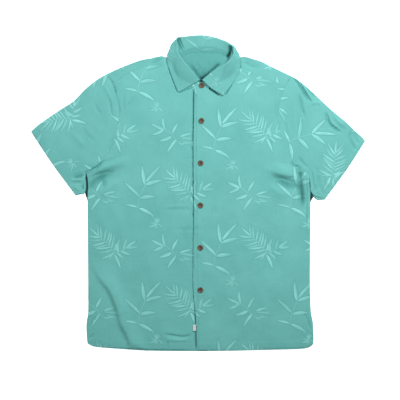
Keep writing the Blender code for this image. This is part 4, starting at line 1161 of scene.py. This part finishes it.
def wrong_side_and_shade(shell):
    """How far each point shows the cloth's duller back with painted shade: inside the neck, on the yoke and
    on the collar's stand, more of it deeper into the neck.
    """
    x, y, z = shell.points.T
    in_neck = ease(NECK_EDGE * (1 - off_middle(shell.points, NECK_MIDDLE, NECK_HALF)))
    if shell.node == "collar":
        return INSIDE_DULL_AND_SHADE * in_neck * ease((STAND_TOP - z) / STAND_FADE)
    deeper_shade = (1 - INSIDE_DULL_AND_SHADE) * ease((NECK_DEEP - y) / NECK_FADE)
    return in_neck * (INSIDE_DULL_AND_SHADE + deeper_shade) * (shell.node == "yoke")


def surface(shell):
    """A tree for finding the shell's height."""
    return BVHTree.FromPolygons([Vector(p) for p in shell.points], shell.faces.tolist())


def hit_from_above(tree, x, y):
    """The point of the tree's surface that is seen from above at x, y."""
    return tree.ray_cast(Vector((x, y, RAY_TOP)), Vector((0, 0, -1)))[0]


STITCH_FACES = [(7, 6, 5, 4), (0, 4, 5, 1), (1, 5, 6, 2), (2, 6, 7, 3), (3, 7, 4, 0), (0, 1, 2, 3)]


def stitches(name, rows, material):
    """Rows of stitches as one mesh. Each row is a tree and a plan line that they follow."""
    long, wide, tall = STITCH_SIZE
    points, faces = [], []
    for tree, line in rows:
        at = lengths(line)
        for k in range(int(at[-1] / STITCH_PITCH)):
            middle = (k + 0.5) * STITCH_PITCH
            ends = []
            for where in (middle - long / 2, middle + long / 2):
                x, y = (np.interp(where, at, line[:, c]) for c in (0, 1))
                hit = hit_from_above(tree, x, y)
                if hit is None:
                    break
                ends.append(np.array(hit))
            if len(ends) < 2 or abs(ends[0][2] - ends[1][2]) > STITCH_STEP:
                continue
            first = len(points)
            points += stitch_points(ends, wide, tall)
            faces += [[first + i for i in face] for face in STITCH_FACES]
    obj = build_mesh(name, points, faces, material)
    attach(obj, "root")


def stitch_points(ends, wide, tall):
    """Eight corners of one stitch, narrower on top."""
    a, b = ends
    run = (b - a) / np.linalg.norm(b - a)
    across = np.cross([0, 0, 1], run)
    up = np.cross(run, across)
    sink = -THREAD_SINK * up
    narrower, shorter = STITCH_TOP
    out = []
    for lift, half, inset in ((0.0, wide / 2, 0.0), (tall, wide / narrower, shorter)):
        for end, sign in ((a, 1), (b, -1)):
            for side in ((1, -1) if sign == 1 else (-1, 1)):
                out.append(end + sink + up * lift + across * side * half + run * sign * inset)
    return out


# ---------------------------------------------------------------- buttons

BUTTON_PROFILE = [(0, 1.25), (2.9, 1.2), (3.6, 1.3), (4.3, 1.75), (5.0, 2.3), (5.7, 2.55), (6.4, 2.4),
                  (6.85, 1.95), (7.0, 1.4), (6.8, 0.7), (6.3, 0.15), (5.4, 0.0), (0, 0)]   # radius and height
BUTTON_STEPS = 48
SHARP = 60                                   # degrees between faces from which an edge is sharp
HOLE_RADIUS = 0.8
HOLE_OUT = 1.45                              # from the middle
HOLE_STEPS = 14
DRILL_MIDDLE, DRILL_LENGTH = 1, 6.0
STRAND_RADIUS, STRAND_APART = 0.24, 0.22     # each strand lies this far to one side of the holes' middle
STRAND_POINTS = 9
STRAND_REACH = 1.06                          # its ends are this many times as far out as the holes
STRAND_BASE, STRAND_ARCH = 1.28, 0.62        # height of its ends' level, and of the arch above that
STRAND_TURN, STRAND_DIP = 0.85, 1.2          # from this share of its half it goes down, by this much
STRAND_OVER = 0.12                           # how much higher the second pair lies


def make_button(node, wood, thread):
    """A turned button with four holes, sewn on with crossed thread."""
    low, high = (np.array(c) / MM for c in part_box(node))
    centre = (low + high) / 2
    bm = bmesh.new()
    verts = [bm.verts.new((r, 0, z)) for r, z in BUTTON_PROFILE]
    edges = [bm.edges.new(pair) for pair in zip(verts, verts[1:])]
    bmesh.ops.spin(bm, geom=verts + edges, cent=(0, 0, 0), axis=(0, 0, 1), angle=2 * math.pi,
                   steps=BUTTON_STEPS, use_merge=True)
    bmesh.ops.remove_doubles(bm, verts=bm.verts, dist=1e-4)
    bmesh.ops.recalc_face_normals(bm, faces=bm.faces)
    bmesh.ops.transform(bm, matrix=placed(centre[0], centre[1], low[2]), verts=bm.verts)
    obj = from_bmesh(node + "_turned", bm, wood)
    obj.data.set_sharp_from_angle(angle=math.radians(SHARP))
    drill = bmesh.new()
    for k in range(4):
        x, y = centre[:2] + HOLE_OUT * hole_way(k)[:2]
        bmesh.ops.create_cone(drill, cap_ends=True, segments=HOLE_STEPS, radius1=HOLE_RADIUS,
                              radius2=HOLE_RADIUS, depth=DRILL_LENGTH,
                              matrix=placed(x, y, low[2] + DRILL_MIDDLE))
    cutter = from_bmesh(node + "_drill", drill, wood)
    cut = obj.modifiers.new("Holes", "BOOLEAN")
    cut.object = cutter
    cut.operation = "DIFFERENCE"
    graph = bpy.context.evaluated_depsgraph_get()
    drilled = bpy.data.meshes.new_from_object(obj.evaluated_get(graph))
    obj.modifiers.clear()
    obj.data = drilled
    bpy.data.objects.remove(cutter)
    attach(obj, "root")
    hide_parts(node)
    sewn = make_cross(node, centre, low[2], thread)
    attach(sewn, "root")


def hole_way(k):
    """Direction from a button's middle to one of its four holes."""
    angle = math.radians(45 + 90 * k)
    return np.array([math.cos(angle), math.sin(angle), 0])


def placed(x, y, z):
    """Matrix that moves to this place."""
    return Matrix.Translation((x, y, z))


def from_bmesh(name, bm, material):
    """A smooth-shaded object of a bmesh in mm."""
    bmesh.ops.scale(bm, vec=(MM, MM, MM), verts=bm.verts)
    mesh = bpy.data.meshes.new(name)
    bm.to_mesh(mesh)
    bm.free()
    mesh.shade_smooth()
    mesh.materials.append(material)
    obj = bpy.data.objects.new(name, mesh)
    bpy.context.scene.collection.objects.link(obj)
    return obj


def make_cross(node, centre, base, material):
    """The thread between the holes of a button: two crossed pairs of strands."""
    points, faces = [], []
    for k in range(2):
        run = hole_way(k)
        across = np.array([-run[1], run[0], 0])
        for shift in (-STRAND_APART, STRAND_APART):
            path = []
            for t in np.linspace(-1, 1, STRAND_POINTS):
                arch = STRAND_ARCH * math.sqrt(max(0, 1 - t ** 4))
                dip = STRAND_DIP * max(0, abs(t) - STRAND_TURN) / (1 - STRAND_TURN)
                height = base + STRAND_BASE + arch - dip + STRAND_OVER * k
                path.append(np.array([centre[0], centre[1], height])
                            + run * t * HOLE_OUT * STRAND_REACH + across * shift)
            tube(points, faces, path, STRAND_RADIUS)
    return build_mesh(node + "_thread", points, faces, material)


def tube(points, faces, path, radius, sides=6):
    """Add a round strand along a path."""
    first = len(points)
    path = np.array(path)
    run = np.gradient(path, axis=0)
    run /= np.linalg.norm(run, axis=1)[:, None]
    for spot, ahead in zip(path, run):
        side = np.cross(ahead, [0, 0, 1.0])
        size = np.linalg.norm(side)
        side = side / size if size > 1e-6 else np.array([1.0, 0, 0])
        up = np.cross(side, ahead)
        for k in range(sides):
            angle = 2 * math.pi * k / sides
            points.append(spot + radius * (math.cos(angle) * side + math.sin(angle) * up))
    for i in range(len(path) - 1):
        for k in range(sides):
            a, b = first + i * sides + k, first + i * sides + (k + 1) % sides
            faces.append([a, b, b + sides, a + sides])
    faces.append([first + k for k in range(sides)][::-1])
    faces.append([first + (len(path) - 1) * sides + k for k in range(sides)])


TAB_ROWS, TAB_TURN = 13, 5           # points along the tab, and round its fold
TAB_BETWEEN = (0.33, 0.66)           # places of the points on each of its sides
TAB_SHORT = 0.2                      # its ends stop short of the edge by this share of the fold's radius
TAB_WAVE = 0.12                      # lift of its free ends


def make_tab(material):
    """The small blank tape at the front's edge, folded double."""
    low, high = (np.array(c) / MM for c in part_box("tab"))
    wide, tall = high[0] - low[0], high[1] - low[1]
    radius = (high[2] - low[2] - TAPE) / 2
    end = wide - radius * TAB_SHORT
    path = [(end, -radius)]
    path += [(radius * 2 + (wide - 2 * radius) * (1 - t), -radius) for t in TAB_BETWEEN]
    path += [(radius - radius * math.sin(a), -radius * math.cos(a))
             for a in np.linspace(0, math.pi, TAB_TURN)]
    path += [(radius * 2 + (wide - 2 * radius) * t, radius) for t in TAB_BETWEEN]
    path += [(end, radius)]
    middle = (low[2] + high[2]) / 2
    points, faces = [], []
    for i in range(TAB_ROWS):
        share = i / (TAB_ROWS - 1)
        lift = TAB_WAVE * math.sin(5 * share + 1)
        points += [(low[0] + x, low[1] + tall * share, middle + z + lift * x / wide) for x, z in path]
    count = len(path)
    for i in range(TAB_ROWS - 1):
        for j in range(count - 1):
            a = i * count + j
            faces.append([a, a + count, a + count + 1, a + 1])
    obj = build_mesh("tab_tape", points, faces, material)
    wall = obj.modifiers.new("Thickness", "SOLIDIFY")
    wall.thickness = TAPE * MM
    wall.offset = 0
    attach(obj, "root")
    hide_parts("tab")


# ---------------------------------------------------------------- camera, light and floor

FRAME_WIDTH = 1.0                    # metres of the scene that the square picture spans
FRAME_CENTRE = (0.005, -0.01725)
CAMERA_HEIGHT = 4.0
CAMERA_END = 50                      # metres that the camera can see
SENSOR = 36.0
FLOOR_SIZE, FLOOR_DROP = 12.0, 0.0004
FLOOR_GREY, FLOOR_GLOW, FLOOR_ROUGH = (0.8, 0.8, 0.8, 1), 0.9, 0.9
WORLD_LIGHT = 0.21
LIGHTS = [                           # name, place, size and power
    ("Key", (0.8, 0.75, 1.2), 0.45, 14.4),
    ("Fill", (-0.5, 0.85, 1.6), 0.9, 16.2),
]


def make_camera():
    """A long lens straight above the shirt."""
    data = bpy.data.cameras.new("Camera")
    data.sensor_width = SENSOR
    data.lens = SENSOR * CAMERA_HEIGHT / FRAME_WIDTH
    data.clip_end = CAMERA_END
    camera = bpy.data.objects.new("Camera", data)
    camera.location = (*FRAME_CENTRE, CAMERA_HEIGHT)
    bpy.context.scene.collection.objects.link(camera)
    bpy.context.scene.camera = camera


def area_light(name, place, size, power):
    """A soft square light that faces the shirt's middle."""
    data = bpy.data.lights.new(name, "AREA")
    data.shape = "SQUARE"
    data.size = size
    data.energy = power
    light = bpy.data.objects.new(name, data)
    light.location = place
    light.rotation_euler = (-Vector(place)).to_track_quat("-Z", "Y").to_euler()
    bpy.context.scene.collection.objects.link(light)


def make_light():
    """A lamp from the upper right, a large one above the left and a little light from all round."""
    for light in LIGHTS:
        area_light(*light)
    world = bpy.data.worlds.new("World")
    world.use_nodes = True
    ground = world.node_tree.nodes["Background"]
    ground.inputs["Color"].default_value = (1, 1, 1, 1)
    ground.inputs["Strength"].default_value = WORLD_LIGHT
    bpy.context.scene.world = world
    bpy.context.scene.view_settings.view_transform = "Standard"


def make_floor():
    """A plain white surface, as bright as the photo's ground."""
    bpy.ops.mesh.primitive_plane_add(size=FLOOR_SIZE, location=(0, 0, -FLOOR_DROP))
    floor = bpy.context.object
    floor.name = "floor"
    material, _, shader = new_material("floor_white")
    shader.inputs["Base Color"].default_value = FLOOR_GREY
    shader.inputs["Roughness"].default_value = FLOOR_ROUGH
    shader.inputs["Emission Color"].default_value = (1, 1, 1, 1)
    shader.inputs["Emission Strength"].default_value = FLOOR_GLOW
    floor.data.materials.append(material)


# ---------------------------------------------------------------- the shirt

BODY_LOOK = (1.0, 1.0)               # how strongly the leaves show, and how bright the cloth is
# The collar's cloth is a darker copy: mostly painted shade that dims the brightly lit collar, partly its
# heavier double cloth.
COLLAR_LOOK = (0.6, 0.95)


def main():
    """Make the shirt's pieces, then the camera, light and floor."""
    make_camera()
    shells = {}
    for node in PIECES:
        shells[node] = Shell(node)
        lay(shells[node])
        close_gaps(shells[node])
    rows = []
    for node, start, end, inset, thicker in SEAMS:
        shell = shells[node]
        line = shell.points[shell.edge(start, end)]
        shell.sew(line, inset, thicker)
        rows.append((node, line, inset))
    for node, start, end, width, drop in ALLOWANCES:
        shells[node].allow(start, end, width, drop)
    cloth = cloth_material("shirt_cloth", *BODY_LOOK)
    collar = cloth_material("shirt_collar_cloth", *COLLAR_LOOK)
    for node, shell in shells.items():
        if node == "collar":
            cloth_object(shell, collar, COLLAR_CLOTH)
        else:
            cloth_object(shell, cloth, CLOTH)
    thread = thread_material("thread_teal", THREAD_TEAL)
    button_thread = thread_material("thread_dark", THREAD_DARK)
    sewn = []
    for node, line, inset in rows:
        tree = surface(shells[node])
        sewn.append((tree, offset_inside(line, inset, tree)))
    stitches("seam_stitches", sewn, thread)
    wood = wood_material()
    for node in sorted(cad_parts):
        if node.startswith("button"):
            make_button(node, wood, button_thread)
    make_tab(tape_material())
    make_light()
    make_floor()


def offset_inside(line, inset, tree):
    """The plan line moved sideways by inset to the side where the cloth is."""
    plan = line[:, :2]
    plan = plan[::max(1, len(plan) // ROW_POINTS)]
    run = np.gradient(plan, axis=0)
    run /= np.maximum(np.linalg.norm(run, axis=1), 1e-9)[:, None]
    left = np.stack([-run[:, 1], run[:, 0]], axis=1)
    middle = len(plan) // 2
    hit = hit_from_above(tree, *(plan[middle] + left[middle] * max(inset, PROBE)))
    sign = 1 if hit is not None and hit.z > ON_FLOOR else -1
    return plan + sign * inset * left


main()
bpy.context.view_layer.update()
